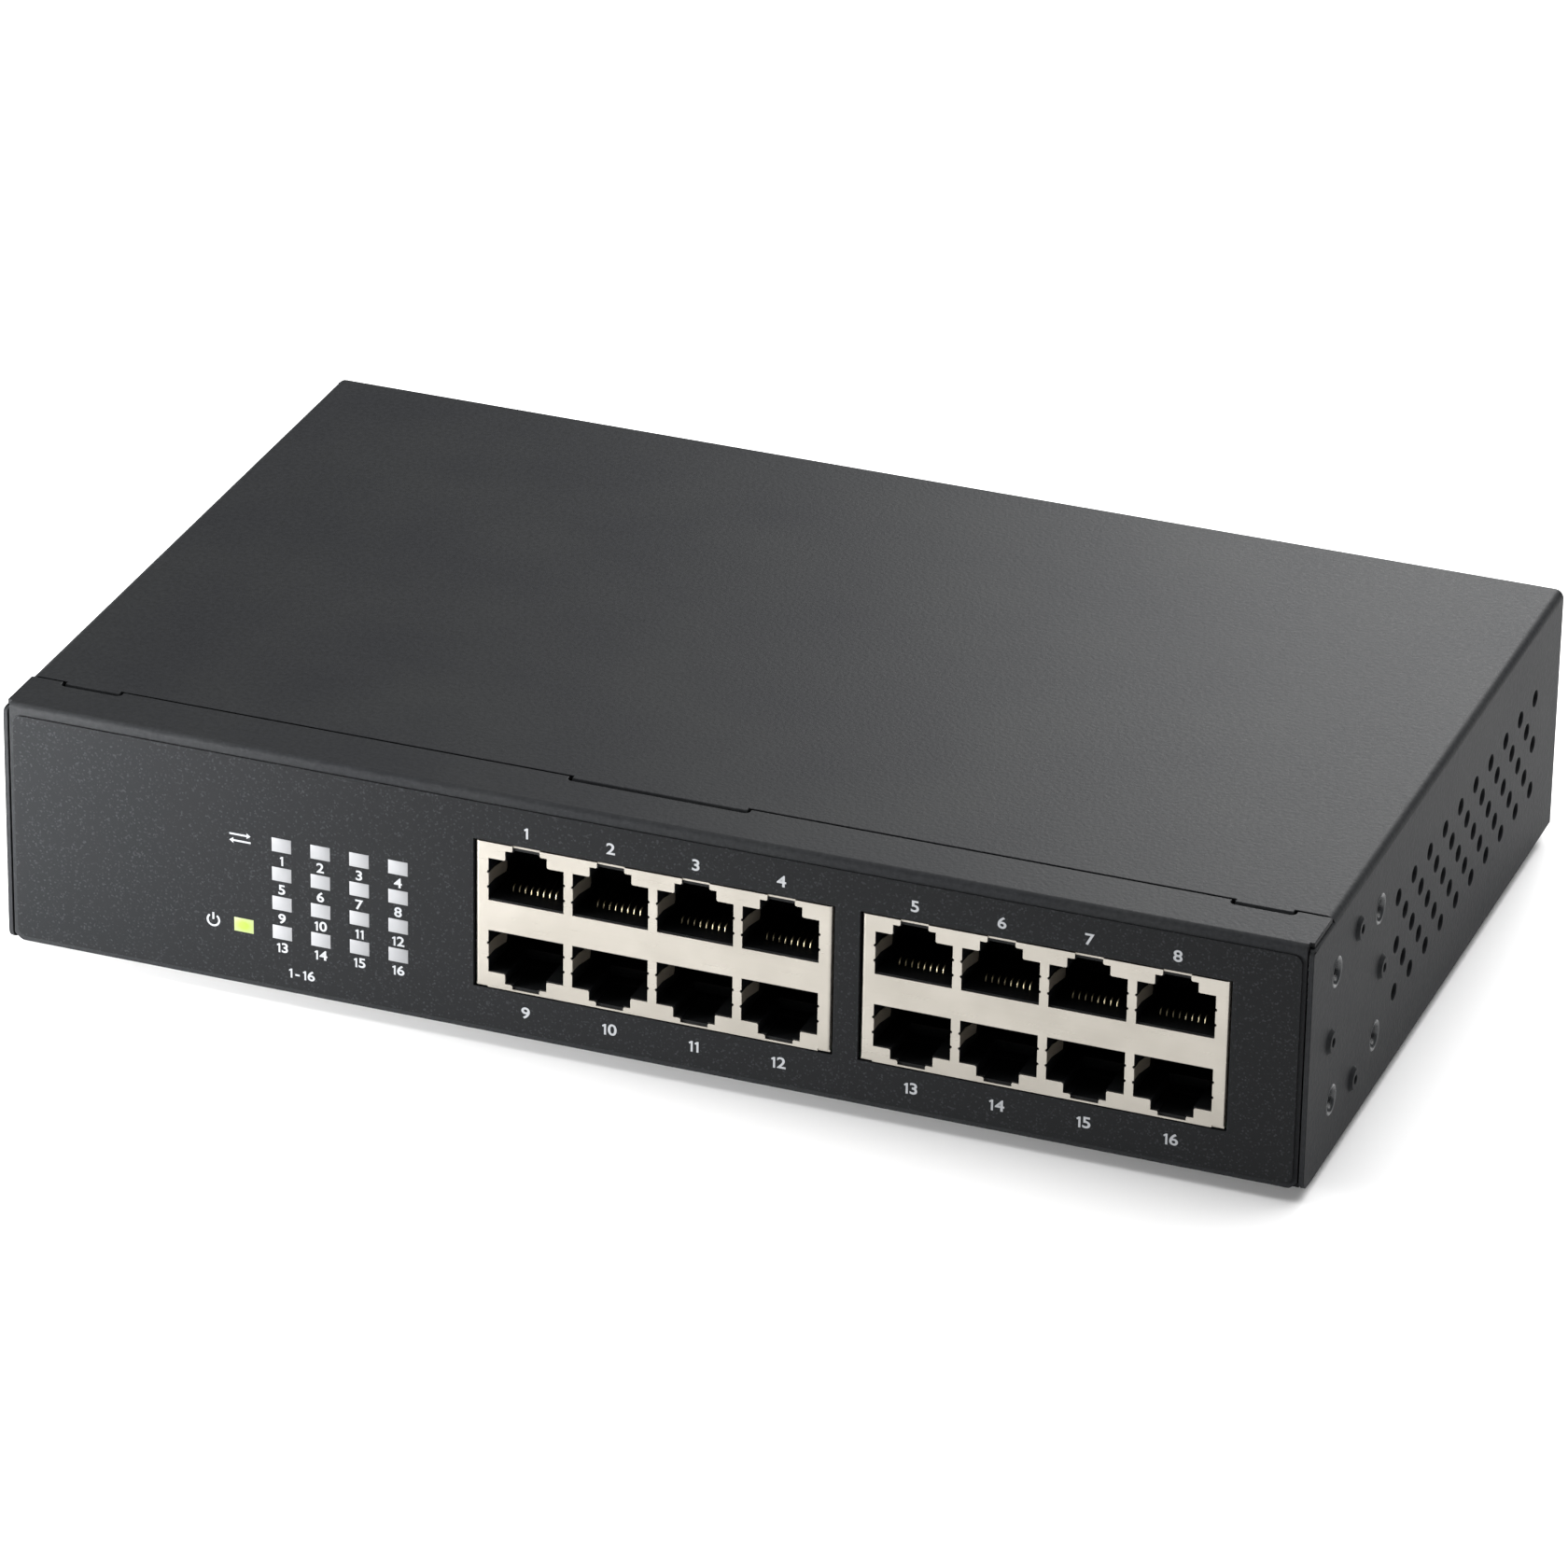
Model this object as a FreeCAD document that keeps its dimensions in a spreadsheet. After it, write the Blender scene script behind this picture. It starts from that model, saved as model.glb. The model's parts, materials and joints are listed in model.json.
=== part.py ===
import FreeCAD, Part
import os
import re
import Sketcher

# Sixteen-port desktop network switch in a folded steel case, millimetres.
# +X is to the right seen from the ports, +Y goes back, +Z is up, and the origin is at the
# middle of the footprint, on the surface that the rubber feet stand on.

DRIVING_SIZES = {
    # case
    "width": 215.0, "depth": 133.0, "case_height": 42.0, "foot_height": 2.0,
    "gauge": 0.8, "cover_bend": 1.5, "pan_bend": 0.9, "pan_gap": 0.25, "label_thickness": 0.3,
    "strip_depth": 10.0, "strip_inset": 0.35, "seam_gap": 0.4, "notch_depth": 1.4,
    "side_notch_width": 10.4, "middle_notch_width": 30.0, "side_notch_place": 96.5,
    "lip_height": 10.0, "screw_head": 1.8,
    # side walls of the cover
    "vent_radius": 1.4, "vent_pitch": 8.25, "vent_row_pitch": 4.12, "vent_start": 44.6,
    "pattern_height": 20.7, "ear_place": 23.8, "ear_spacing": 22.0, "ear_hole_radius": 1.65,
    "collar_radius": 2.9, "collar_length": 2.0, "collar_edge": 0.75,
    "dimple_spacing": 26.0, "dimple_radius": 2.2, "dimple_rise": 0.6, "dimple_pit": 0.75,
    # jack blocks and their ports
    "jack_middle": 1.9, "jack_spacing": 63.5, "jack_width": 58.6, "jack_height": 25.2,
    "jack_depth": 21.5, "jack_bottom": 8.4, "jack_gap": 0.4, "shield_gauge": 0.3,
    "port_pitch": 13.97, "port_half": 6.25, "port_tall": 7.3, "port_offset": 2.6,
    "key_half": 3.45, "key_rise": 1.7, "latch_half": 2.25,
    "cavity_half": 6.3, "cavity_depth": 13.0, "finger_height": 2.1, "finger_place": 3.6,
    "contact_pitch": 1.02, "contact_width": 0.45, "contact_wire": 0.3,
    # lamp windows
    "lamp_left": -60.1, "lamp_pitch": 6.55, "lamp_top": 26.1, "lamp_row_pitch": 5.1,
    "lamp_width": 3.3, "lamp_height": 2.4, "lamp_margin": 0.15,
    # boards and what they stand on
    "board_thickness": 1.6, "main_left": -74.0, "main_right": 101.5, "main_front": 2.6,
    "main_back": 78.0, "supply_left": -103.0, "supply_right": 12.0, "supply_front": 83.0,
    "supply_back": 128.5, "standoff_radius": 3.0, "thread_radius": 1.5, "head_radius": 2.8,
    # mains inlet
    "inlet_middle": -70.0, "inlet_width": 27.0, "inlet_height": 20.0, "inlet_depth": 20.0,
    "inlet_flange": 1.5, "cavity_width": 24.4, "cavity_height": 16.4, "blade_spacing": 14.0,
    "inlet_floor": 4.0, "inlet_corner": 6.0, "blade_width": 2.0, "blade_height": 4.0,
    # rear wall and floor
    "flange_length": 8.0, "lock_slot_left": 83.0, "lock_slot_width": 7.0, "lock_slot_rise": 12.0,
    "lock_slot_height": 3.2, "upstand_height": 6.0,
    "keyhole_place": 60.0, "keyhole_head": 14.0, "keyhole_end": 22.0, "keyhole_radius": 4.0,
    "keyhole_slot": 4.4,
    # label
    "label_half": 105.8, "label_low": 1.2, "label_margin": 1.8, "label_corner": 1.5,
    # heatsinks and small parts
    "fin_thickness": 1.4, "sink_base": 1.5, "chip_height": 1.4, "pad_height": 0.6,
}

doc = FreeCAD.newDocument("DesktopSwitch")
sizes = doc.addObject("Spreadsheet::Sheet", "Sizes")
for row, (alias, value) in enumerate(DRIVING_SIZES.items(), start=1):
    sizes.set(f"A{row}", alias)
    sizes.set(f"B{row}", str(value))
    sizes.setAlias(f"B{row}", alias)
doc.recompute()

# Reference planes, written as formulas on the sheet's sizes.
FACE = "(-depth / 2 - screw_head / 2)"          # outer surface of the front label
FRONT = f"({FACE} + label_thickness)"           # outer surface of the steel front wall
BACK = "(depth / 2 - screw_head / 2)"           # outer surface of the cover's rear lip
FLOOR = "foot_height"                           # underside of the case
ROOF = "(foot_height + case_height)"            # top of the case
SIDE = "(width / 2)"
PAN_SIDE = "(width / 2 - gauge - pan_gap)"
REAR_WALL = f"({BACK} - gauge)"
BOARD_TOP = "(foot_height + jack_bottom)"
BOARD_BOTTOM = f"({BOARD_TOP} - board_thickness)"
JACK_TOP = f"({BOARD_TOP} + jack_height)"
JACK_CENTRE = f"({BOARD_TOP} + jack_height / 2)"

subparts = []


def bound(formula):
    """Formula with each size's name pointed at the sheet."""
    return re.sub(r"[a-z_]+", lambda word: f"Sizes.{word.group()}", str(formula))


def number(formula):
    return float(sizes.evalExpression(bound(formula)))


def keep(piece, label):
    """Name a finished piece and put it on the list of what is written."""
    piece.Label = label
    subparts.append(piece)
    return piece


# ---------------------------------------------------------------- sketch and body helpers

def new_body(label):
    return keep(doc.addObject("PartDesign::Body", label.title().replace("_", "")), label)


def new_sketch(body, role, offset="0"):
    """Sketch on one of the body's own origin planes, moved along that plane's normal."""
    sketch = body.newObject("Sketcher::SketchObject", "Sketch")
    plane = [datum for datum in body.Origin.OriginFeatures if datum.Role == role][0]
    sketch.AttachmentSupport = [(plane, "")]
    sketch.MapMode = "FlatFace"
    sketch.setExpression("AttachmentOffset.Base.z", bound(offset))
    return sketch


def polygon(sketch, points):
    """Closed outline whose corners are tied to formulas."""
    places = [FreeCAD.Vector(number(x), number(y), 0) for x, y in points]
    following = places[1:] + places[:1]
    lines = sketch.addGeometry([Part.LineSegment(a, b) for a, b in zip(places, following)], False)
    for line, next_line in zip(lines, lines[1:] + lines[:1]):
        sketch.addConstraint(Sketcher.Constraint("Coincident", line, 2, next_line, 1))
    for line, place, (x, y) in zip(lines, places, points):
        for kind, value, formula in (("DistanceX", place.x, x), ("DistanceY", place.y, y)):
            tie = sketch.addConstraint(Sketcher.Constraint(kind, -1, 1, line, 1, value))
            sketch.setExpression(f"Constraints[{tie}]", bound(formula))


def rectangle(sketch, x_range, y_range):
    (left, right), (low, high) = x_range, y_range
    polygon(sketch, [(left, low), (right, low), (right, high), (left, high)])


def circle(sketch, x, y, radius):
    centre = FreeCAD.Vector(number(x), number(y), 0)
    ring = sketch.addGeometry(Part.Circle(centre, FreeCAD.Vector(0, 0, 1), number(radius)), False)
    for kind, value, formula in (("DistanceX", centre.x, x), ("DistanceY", centre.y, y)):
        tie = sketch.addConstraint(Sketcher.Constraint(kind, -1, 1, ring, 3, value))
        sketch.setExpression(f"Constraints[{tie}]", bound(formula))
    tie = sketch.addConstraint(Sketcher.Constraint("Radius", ring, number(radius)))
    sketch.setExpression(f"Constraints[{tie}]", bound(radius))


def pad(body, sketch, length, both_ways=False, backwards=False, taper=0.0):
    feature = body.newObject("PartDesign::Pad", "Pad")
    feature.Profile = sketch
    feature.setExpression("Length", bound(length))
    feature.Midplane = both_ways
    feature.Reversed = backwards
    feature.TaperAngle = taper
    doc.recompute()
    return feature


def pocket(body, sketch, length, both_ways=False, backwards=False):
    """Cut the sketch out of the body, and make sure that something was cut."""
    before = body.Shape.Volume
    feature = body.newObject("PartDesign::Pocket", "Pocket")
    feature.Profile = sketch
    feature.setExpression("Length", bound(length))
    feature.Midplane = both_ways
    feature.Reversed = backwards
    doc.recompute()
    if not body.Shape.Volume < before - 1e-6:
        raise RuntimeError(f"{body.Label}: {feature.Name} cuts nothing")
    return feature


def edges_at(shape, direction, places):
    """Names of the straight edges along X, Y or Z that pass through the given places.

    A place gives the other two coordinates, in X, Y, Z order."""
    axis = "XYZ".index(direction)
    across = [k for k in range(3) if k != axis]
    names = []
    for index, edge in enumerate(shape.Edges, start=1):
        ends = [vertex.Point for vertex in edge.Vertexes]
        if len(ends) != 2 or max(abs(ends[0][k] - ends[1][k]) for k in across) > 1e-4:
            continue
        if any(all(abs(ends[0][k] - place[i]) < 1e-3 for i, k in enumerate(across)) for place in places):
            names.append(f"Edge{index}")
    return names


def round_edges(body, names, radius):
    base = body.Tip
    feature = body.newObject("PartDesign::Fillet", "Fillet")
    feature.Base = (base, names)
    feature.setExpression("Radius", bound(radius))
    body.Tip = feature
    doc.recompute()
    return feature


# ---------------------------------------------------------------- primitives and groups

def block(x_range, y_range, z_range, label=None):
    """Box between three pairs of formulas."""
    box = doc.addObject("Part::Box", "Block")
    for side, axis, (low, high) in zip(("Length", "Width", "Height"), "xyz", (x_range, y_range, z_range)):
        box.setExpression(side, bound(f"{high} - ({low})"))
        box.setExpression(f"Placement.Base.{axis}", bound(low))
    return keep(box, label) if label else box


def about(middle, size):
    """Pair of formulas a size apart with their middle at a formula."""
    return f"({middle}) - ({size}) / 2", f"({middle}) + ({size}) / 2"


TURNS = {
    "X": FreeCAD.Rotation(FreeCAD.Vector(0, 1, 0), 90),
    "Y": FreeCAD.Rotation(FreeCAD.Vector(1, 0, 0), -90),
    "Z": FreeCAD.Rotation(),
}


def rod(start, radius, length, axis="Z", label=None, tip_radius=None):
    """Cylinder, or cone when it has a tip radius, from a start point along an axis."""
    kind = "Part::Cone" if tip_radius else "Part::Cylinder"
    piece = doc.addObject(kind, "Rod")
    piece.setExpression("Radius1" if tip_radius else "Radius", bound(radius))
    if tip_radius:
        piece.setExpression("Radius2", bound(tip_radius))
    piece.setExpression("Height", bound(length))
    piece.Placement = FreeCAD.Placement(FreeCAD.Vector(), TURNS[axis])
    for name, formula in zip("xyz", start):
        piece.setExpression(f"Placement.Base.{name}", bound(formula))
    return keep(piece, label) if label else piece


def group(label, pieces):
    """Separate solids under one name."""
    piece = doc.addObject("Part::Compound", label.title().replace("_", ""))
    piece.Links = pieces
    return keep(piece, label)


def fused(pieces, label=None):
    piece = doc.addObject("Part::MultiFuse", "Fused")
    piece.Shapes = pieces
    piece.Refine = True
    return keep(piece, label) if label else piece


def cut(base, tools, label=None):
    piece = doc.addObject("Part::Cut", "Cut")
    piece.Base = base
    piece.Tool = tools[0] if len(tools) == 1 else fused(tools)
    return keep(piece, label) if label else piece


# ---------------------------------------------------------------- case

STRIP_REAR = f"({FRONT} + strip_depth)"
COVER_FRONT = f"({STRIP_REAR} + seam_gap)"
NOTCHES = [("-side_notch_place", "side_notch_width"), ("-1", "middle_notch_width"),
           ("side_notch_place", "side_notch_width")]
LIP_SCREWS = ["-85", "0", "85"]
LIP_SCREW_HEIGHT = f"({ROOF} - lip_height / 2)"
INLET_MIDDLE_HEIGHT = f"({BOARD_TOP} + inlet_height / 2)"
GROUND_SCREW = ("60", f"{FLOOR} + 14")


def jack_x(side):
    """Middle of the left (0) or right (1) jack block."""
    return f"(jack_middle + {side} * jack_spacing)"


def lamp_places():
    """Middles of the sixteen port lamps, in number order."""
    return [(f"lamp_left + {column} * lamp_pitch", f"{FLOOR} + lamp_top - {line} * lamp_row_pitch")
            for line in range(4) for column in range(4)]


POWER_LAMP = ("lamp_left - lamp_pitch", f"{FLOOR} + lamp_top - 3 * lamp_row_pitch")


def make_base_pan():
    """Chassis folded from one sheet: strip, front wall, floor, rear wall and rear flange."""
    pan = new_body("base_pan")
    rear_top = f"({ROOF} - gauge - 0.2)"
    profile = [
        (STRIP_REAR, ROOF), (FRONT, ROOF), (FRONT, FLOOR), (REAR_WALL, FLOOR),
        (REAR_WALL, rear_top), (f"{REAR_WALL} - flange_length", rear_top),
        (f"{REAR_WALL} - flange_length", f"{rear_top} - gauge"), (f"{REAR_WALL} - gauge", f"{rear_top} - gauge"),
        (f"{REAR_WALL} - gauge", f"{FLOOR} + gauge"), (f"{FRONT} + gauge", f"{FLOOR} + gauge"),
        (f"{FRONT} + gauge", f"{ROOF} - gauge"), (STRIP_REAR, f"{ROOF} - gauge"),
    ]
    sketch = new_sketch(pan, "YZ_Plane")
    polygon(sketch, profile)
    pad(pan, sketch, f"2 * {PAN_SIDE}", both_ways=True)
    outer = [(number(y), number(z)) for y, z in profile[1:5]]
    inner = [(number(y), number(z)) for y, z in profile[7:11]]
    round_edges(pan, edges_at(pan.Shape, "X", outer), "pan_bend")
    round_edges(pan, edges_at(pan.Shape, "X", inner), "pan_bend / 3")

    # The strip is a little wider than the front wall, so it covers the cover's side walls.
    sketch = new_sketch(pan, "XY_Plane", f"{ROOF} - gauge")
    for left, right in ((f"-{SIDE} + strip_inset", f"2 - {PAN_SIDE}"), (f"{PAN_SIDE} - 2", f"{SIDE} - strip_inset")):
        rectangle(sketch, (left, right), (f"{FRONT} + 1.2", STRIP_REAR))
    pad(pan, sketch, "gauge")

    sketch = new_sketch(pan, "XY_Plane", f"{ROOF} + 1")
    corners = []
    for middle, breadth in NOTCHES:
        sides = about(middle, breadth)
        rectangle(sketch, sides, (f"{STRIP_REAR} - notch_depth", f"{STRIP_REAR} + 1"))
        corners += [(number(side), number(f"{STRIP_REAR} - notch_depth")) for side in sides]
    pocket(pan, sketch, "gauge + 2")
    round_edges(pan, edges_at(pan.Shape, "Z", corners), "notch_depth * 0.6")

    # Front wall: two jack cut-outs, the lamp holes and the clipped lower corners.
    sketch = new_sketch(pan, "XZ_Plane", f"1 - ({FRONT})")
    for side in (0, 1):
        rectangle(sketch, about(jack_x(side), "jack_width + 2 * jack_gap"),
                  about(JACK_CENTRE, "jack_height + 2 * jack_gap"))
    for x, height in lamp_places() + [POWER_LAMP]:
        rectangle(sketch, about(x, "lamp_width - 2 * lamp_margin"), about(height, "lamp_height - 2 * lamp_margin"))
    for sign in ("-", ""):
        polygon(sketch, [(f"{sign}({PAN_SIDE} + 1)", f"{FLOOR} - 1"), (f"{sign}({PAN_SIDE} - 1.5)", f"{FLOOR} - 1"),
                         (f"{sign}({PAN_SIDE} - 1.5)", FLOOR), (f"{sign}({PAN_SIDE})", f"{FLOOR} + 1.5"),
                         (f"{sign}({PAN_SIDE} + 1)", f"{FLOOR} + 1.5")])
    pocket(pan, sketch, "gauge + 1.5")

    # Rear wall: mains inlet, lock slot, ground screw and the three cover screws.
    sketch = new_sketch(pan, "XZ_Plane", f"1.5 - ({REAR_WALL} - gauge)")
    rectangle(sketch, about("inlet_middle", "inlet_width + 0.4"), about(INLET_MIDDLE_HEIGHT, "inlet_height + 0.4"))
    rectangle(sketch, ("lock_slot_left", "lock_slot_left + lock_slot_width"),
              (f"{FLOOR} + lock_slot_rise", f"{FLOOR} + lock_slot_rise + lock_slot_height"))
    circle(sketch, *GROUND_SCREW, "thread_radius")
    for x in LIP_SCREWS:
        circle(sketch, x, LIP_SCREW_HEIGHT, "thread_radius")
    pocket(pan, sketch, "gauge + 3")

    # Low side upstands inside the cover's walls.
    for start in (f"-{PAN_SIDE}", f"{PAN_SIDE} - gauge"):
        sketch = new_sketch(pan, "YZ_Plane", start)
        rectangle(sketch, (f"{FRONT} + 14", f"{REAR_WALL} - 8"), (f"{FLOOR} + gauge / 2", f"{FLOOR} + upstand_height"))
        pad(pan, sketch, "gauge")

    # Two keyholes in the floor for hanging on a wall.
    for shape in ("head", "slot", "end"):
        sketch = new_sketch(pan, "XY_Plane", f"{FLOOR} - 1")
        for x in ("-keyhole_place", "keyhole_place"):
            if shape == "head":
                circle(sketch, x, "keyhole_head", "keyhole_radius")
            elif shape == "slot":
                rectangle(sketch, about(x, "keyhole_slot"), ("keyhole_head", "keyhole_end"))
            else:
                circle(sketch, x, "keyhole_end", "keyhole_slot / 2")
        pocket(pan, sketch, "gauge + 2", backwards=True)
    return pan


def make_top_cover():
    """Inverted U over the pan, with tongues at the front and a screwed lip at the back."""
    cover = new_body("top_cover")
    sketch = new_sketch(cover, "XZ_Plane", f"-({BACK})")
    polygon(sketch, [(f"-{SIDE}", FLOOR), (f"-{SIDE}", ROOF), (SIDE, ROOF), (SIDE, FLOOR),
                     (f"{SIDE} - gauge", FLOOR), (f"{SIDE} - gauge", f"{ROOF} - gauge"),
                     (f"gauge - {SIDE}", f"{ROOF} - gauge"), (f"gauge - {SIDE}", FLOOR)])
    pad(cover, sketch, f"{BACK} - ({FRONT})")
    half, top = number(SIDE), number(ROOF)
    gauge = number("gauge")
    round_edges(cover, edges_at(cover.Shape, "Y", [(-half, top), (half, top)]), "cover_bend")
    round_edges(cover, edges_at(cover.Shape, "Y", [(gauge - half, top - gauge), (half - gauge, top - gauge)]),
                "cover_bend - gauge")

    # The lip folds down over the pan's rear wall.
    sketch = new_sketch(cover, "XZ_Plane", f"-({BACK})")
    rectangle(sketch, (f"gauge / 2 - {SIDE}", f"{SIDE} - gauge / 2"), (f"{ROOF} - lip_height", f"{ROOF} - gauge / 2"))
    pad(cover, sketch, "gauge")

    # In front of the seam only the side walls go on, with their top edge under the strip.
    sketch = new_sketch(cover, "XY_Plane", f"{ROOF} + 1")
    rectangle(sketch, (f"-{SIDE} - 1", f"{SIDE} + 1"), (f"{FRONT} - 1", COVER_FRONT))
    pocket(cover, sketch, "gauge + 1.2")
    front, floor = number(FRONT), number(FLOOR)
    wall_top = number(f"{ROOF} - gauge - 0.2")
    round_edges(cover, edges_at(cover.Shape, "X", [(front, floor)]), "2")
    round_edges(cover, edges_at(cover.Shape, "X", [(front, wall_top)]), "1")

    # Each tongue steps down by one gauge and slides under the strip.
    step = "gauge + 0.2"
    for middle, breadth in NOTCHES:
        sketch = new_sketch(cover, "YZ_Plane", middle)
        polygon(sketch, [
            (f"{COVER_FRONT} + 1", ROOF), (f"{COVER_FRONT} - 0.8", ROOF), (f"{COVER_FRONT} - 1.5", f"{ROOF} - ({step})"),
            (f"{COVER_FRONT} - 6.5", f"{ROOF} - ({step})"), (f"{COVER_FRONT} - 6.5", f"{ROOF} - ({step}) - gauge"),
            (f"{COVER_FRONT} - 1.1", f"{ROOF} - ({step}) - gauge"), (f"{COVER_FRONT} - 0.4", f"{ROOF} - gauge"),
            (f"{COVER_FRONT} + 1", f"{ROOF} - gauge")])
        pad(cover, sketch, f"{breadth} - 1.2", both_ways=True)

    # Collars drawn inwards round the four tapped holes, then the holes with their rolled edge.
    middle_height = f"({FLOOR} + pattern_height)"
    middle_depth = f"({FACE} + ear_place)"
    ears = [(f"{middle_depth} + {i} * ear_spacing / 2", f"{middle_height} + {j} * ear_spacing / 2")
            for i in (-1, 1) for j in (-1, 1)]
    for start, backwards in ((f"{SIDE} - gauge / 2", True), (f"gauge / 2 - {SIDE}", False)):
        sketch = new_sketch(cover, "YZ_Plane", start)
        for y, height in ears:
            circle(sketch, y, height, "collar_radius")
        pad(cover, sketch, "collar_length + gauge / 2", backwards=backwards)
    sketch = new_sketch(cover, "YZ_Plane")
    for y, height in ears:
        circle(sketch, y, height, "ear_hole_radius")
    pocket(cover, sketch, "width + 2", both_ways=True)
    radius = number("ear_hole_radius")
    rims = [f"Edge{index}" for index, edge in enumerate(cover.Shape.Edges, start=1)
            if isinstance(edge.Curve, Part.Circle) and abs(edge.Curve.Radius - radius) < 1e-4
            and abs(abs(edge.Curve.Center.x) - half) < 1e-3]
    round_edges(cover, rims, "collar_edge")

    # Four raised dimples round them, each with a pit in its top.
    dimples = [(f"{middle_depth} + {i} * dimple_spacing / 2", f"{middle_height} + {j} * dimple_spacing / 2")
               for i, j in ((-1, 0), (1, 0), (0, -1), (0, 1))]
    for start, backwards in ((f"{SIDE} - gauge / 2", False), (f"gauge / 2 - {SIDE}", True)):
        sketch = new_sketch(cover, "YZ_Plane", start)
        for y, height in dimples:
            circle(sketch, y, height, "dimple_radius + gauge / 4")
        pad(cover, sketch, "dimple_rise + gauge / 2", backwards=backwards, taper=-38.0)
        outside = f"{SIDE} + dimple_rise" if not backwards else f"-{SIDE} - dimple_rise"
        sketch = new_sketch(cover, "YZ_Plane", outside)
        for y, height in dimples:
            circle(sketch, y, height, "dimple_pit")
        pocket(cover, sketch, "dimple_rise", backwards=backwards)

    # Vents, five staggered rows through both walls.
    sketch = new_sketch(cover, "YZ_Plane")
    for line in range(-2, 3):
        shift, count = (0, 10) if line % 2 == 0 else (0.5, 9)
        for column in range(count):
            circle(sketch, f"{FACE} + vent_start + {column + shift} * vent_pitch",
                   f"{middle_height} + {line} * vent_row_pitch", "vent_radius")
    pocket(cover, sketch, "width + 2", both_ways=True)

    sketch = new_sketch(cover, "XZ_Plane", f"2 - ({BACK})")
    for x in LIP_SCREWS:
        circle(sketch, x, LIP_SCREW_HEIGHT, "thread_radius + 0.2")
    pocket(cover, sketch, "4")
    return cover


def make_front_label():
    label = new_body("front_label")
    sketch = new_sketch(label, "XZ_Plane", f"-({FRONT})")
    left, right, low, high = "-label_half", "label_half", f"{FLOOR} + label_low", f"{ROOF} - label_margin"
    rectangle(sketch, (left, right), (low, high))
    pad(label, sketch, "label_thickness")
    corners = [(number(x), number(z)) for x in (left, right) for z in (low, high)]
    round_edges(label, edges_at(label.Shape, "Y", corners), "label_corner")
    sketch = new_sketch(label, "XZ_Plane", f"1 - ({FRONT})")
    for side in (0, 1):
        rectangle(sketch, about(jack_x(side), "jack_width + 2 * jack_gap"),
                  about(JACK_CENTRE, "jack_height + 2 * jack_gap - 0.3"))
    for x, height in lamp_places() + [POWER_LAMP]:
        rectangle(sketch, about(x, "lamp_width"), about(height, "lamp_height"))
    pocket(label, sketch, "2")
    return label


def make_lamps():
    """Windows in the label, the clear guide behind them, and the lamps on their own board."""
    def window(place):
        return block(about(place[0], "lamp_width"), (FACE, FRONT), about(place[1], "lamp_height"))

    group("port_windows", [window(place) for place in lamp_places()])
    keep(window(POWER_LAMP), "power_window")

    every_lamp = lamp_places() + [POWER_LAMP]
    low, high = f"{FLOOR} + lamp_top - 3 * lamp_row_pitch - 2", f"{FLOOR} + lamp_top + 2"
    across = ("lamp_left - lamp_pitch - 3", "lamp_left + 3 * lamp_pitch + 3")
    guide = new_body("light_guide")
    sketch = new_sketch(guide, "XZ_Plane", f"-({FACE} + 8)")
    rectangle(sketch, across, (low, high))
    pad(guide, sketch, "2.5")
    sketch = new_sketch(guide, "XZ_Plane", f"-({FACE} + 6)")
    for x, height in every_lamp:
        rectangle(sketch, about(x, "lamp_width - 3.4 * lamp_margin"), about(height, "lamp_height - 3.4 * lamp_margin"))
    pad(guide, sketch, "6 - label_thickness")

    lamps = [block(about(x, "1.6"), (f"{FACE} + 10", f"{FACE} + 11"), about(height, "1.2")) for x, height in every_lamp]
    group("status_leds", lamps)
    block(across, (f"{FACE} + 11", f"{FACE} + 12.2"), (low, high), "led_board")
    block(about("lamp_left + lamp_pitch", "20"), (f"{FACE} + 12.2", f"{FACE} + 15"), (BOARD_TOP, f"{BOARD_TOP} + 6"),
          "led_header")


# ---------------------------------------------------------------- jack blocks

def port_columns(side):
    return [f"({jack_x(side)} + {column - 1.5} * port_pitch)" for column in range(4)]


def port_outline(x, row):
    """Stepped opening of one port: row 1 has its latch upwards, row -1 downwards."""
    def height(rise):
        return f"{JACK_CENTRE} + {row} * ({rise})"

    base, top = "port_offset", "port_offset + port_tall"
    # The last step runs out of the upper edge, and stops at the bottom flange in the lower row.
    end = "jack_height / 2 + 1" if row > 0 else "jack_height / 2 - shield_gauge"
    half = [("port_half", base), ("port_half", top), ("key_half", top), ("key_half", f"{top} + key_rise"),
            ("latch_half", f"{top} + key_rise"), ("latch_half", end)]
    right = [(f"{x} + {reach}", height(rise)) for reach, rise in half]
    left = [(f"{x} - {reach}", height(rise)) for reach, rise in reversed(half)]
    return right + left


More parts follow.
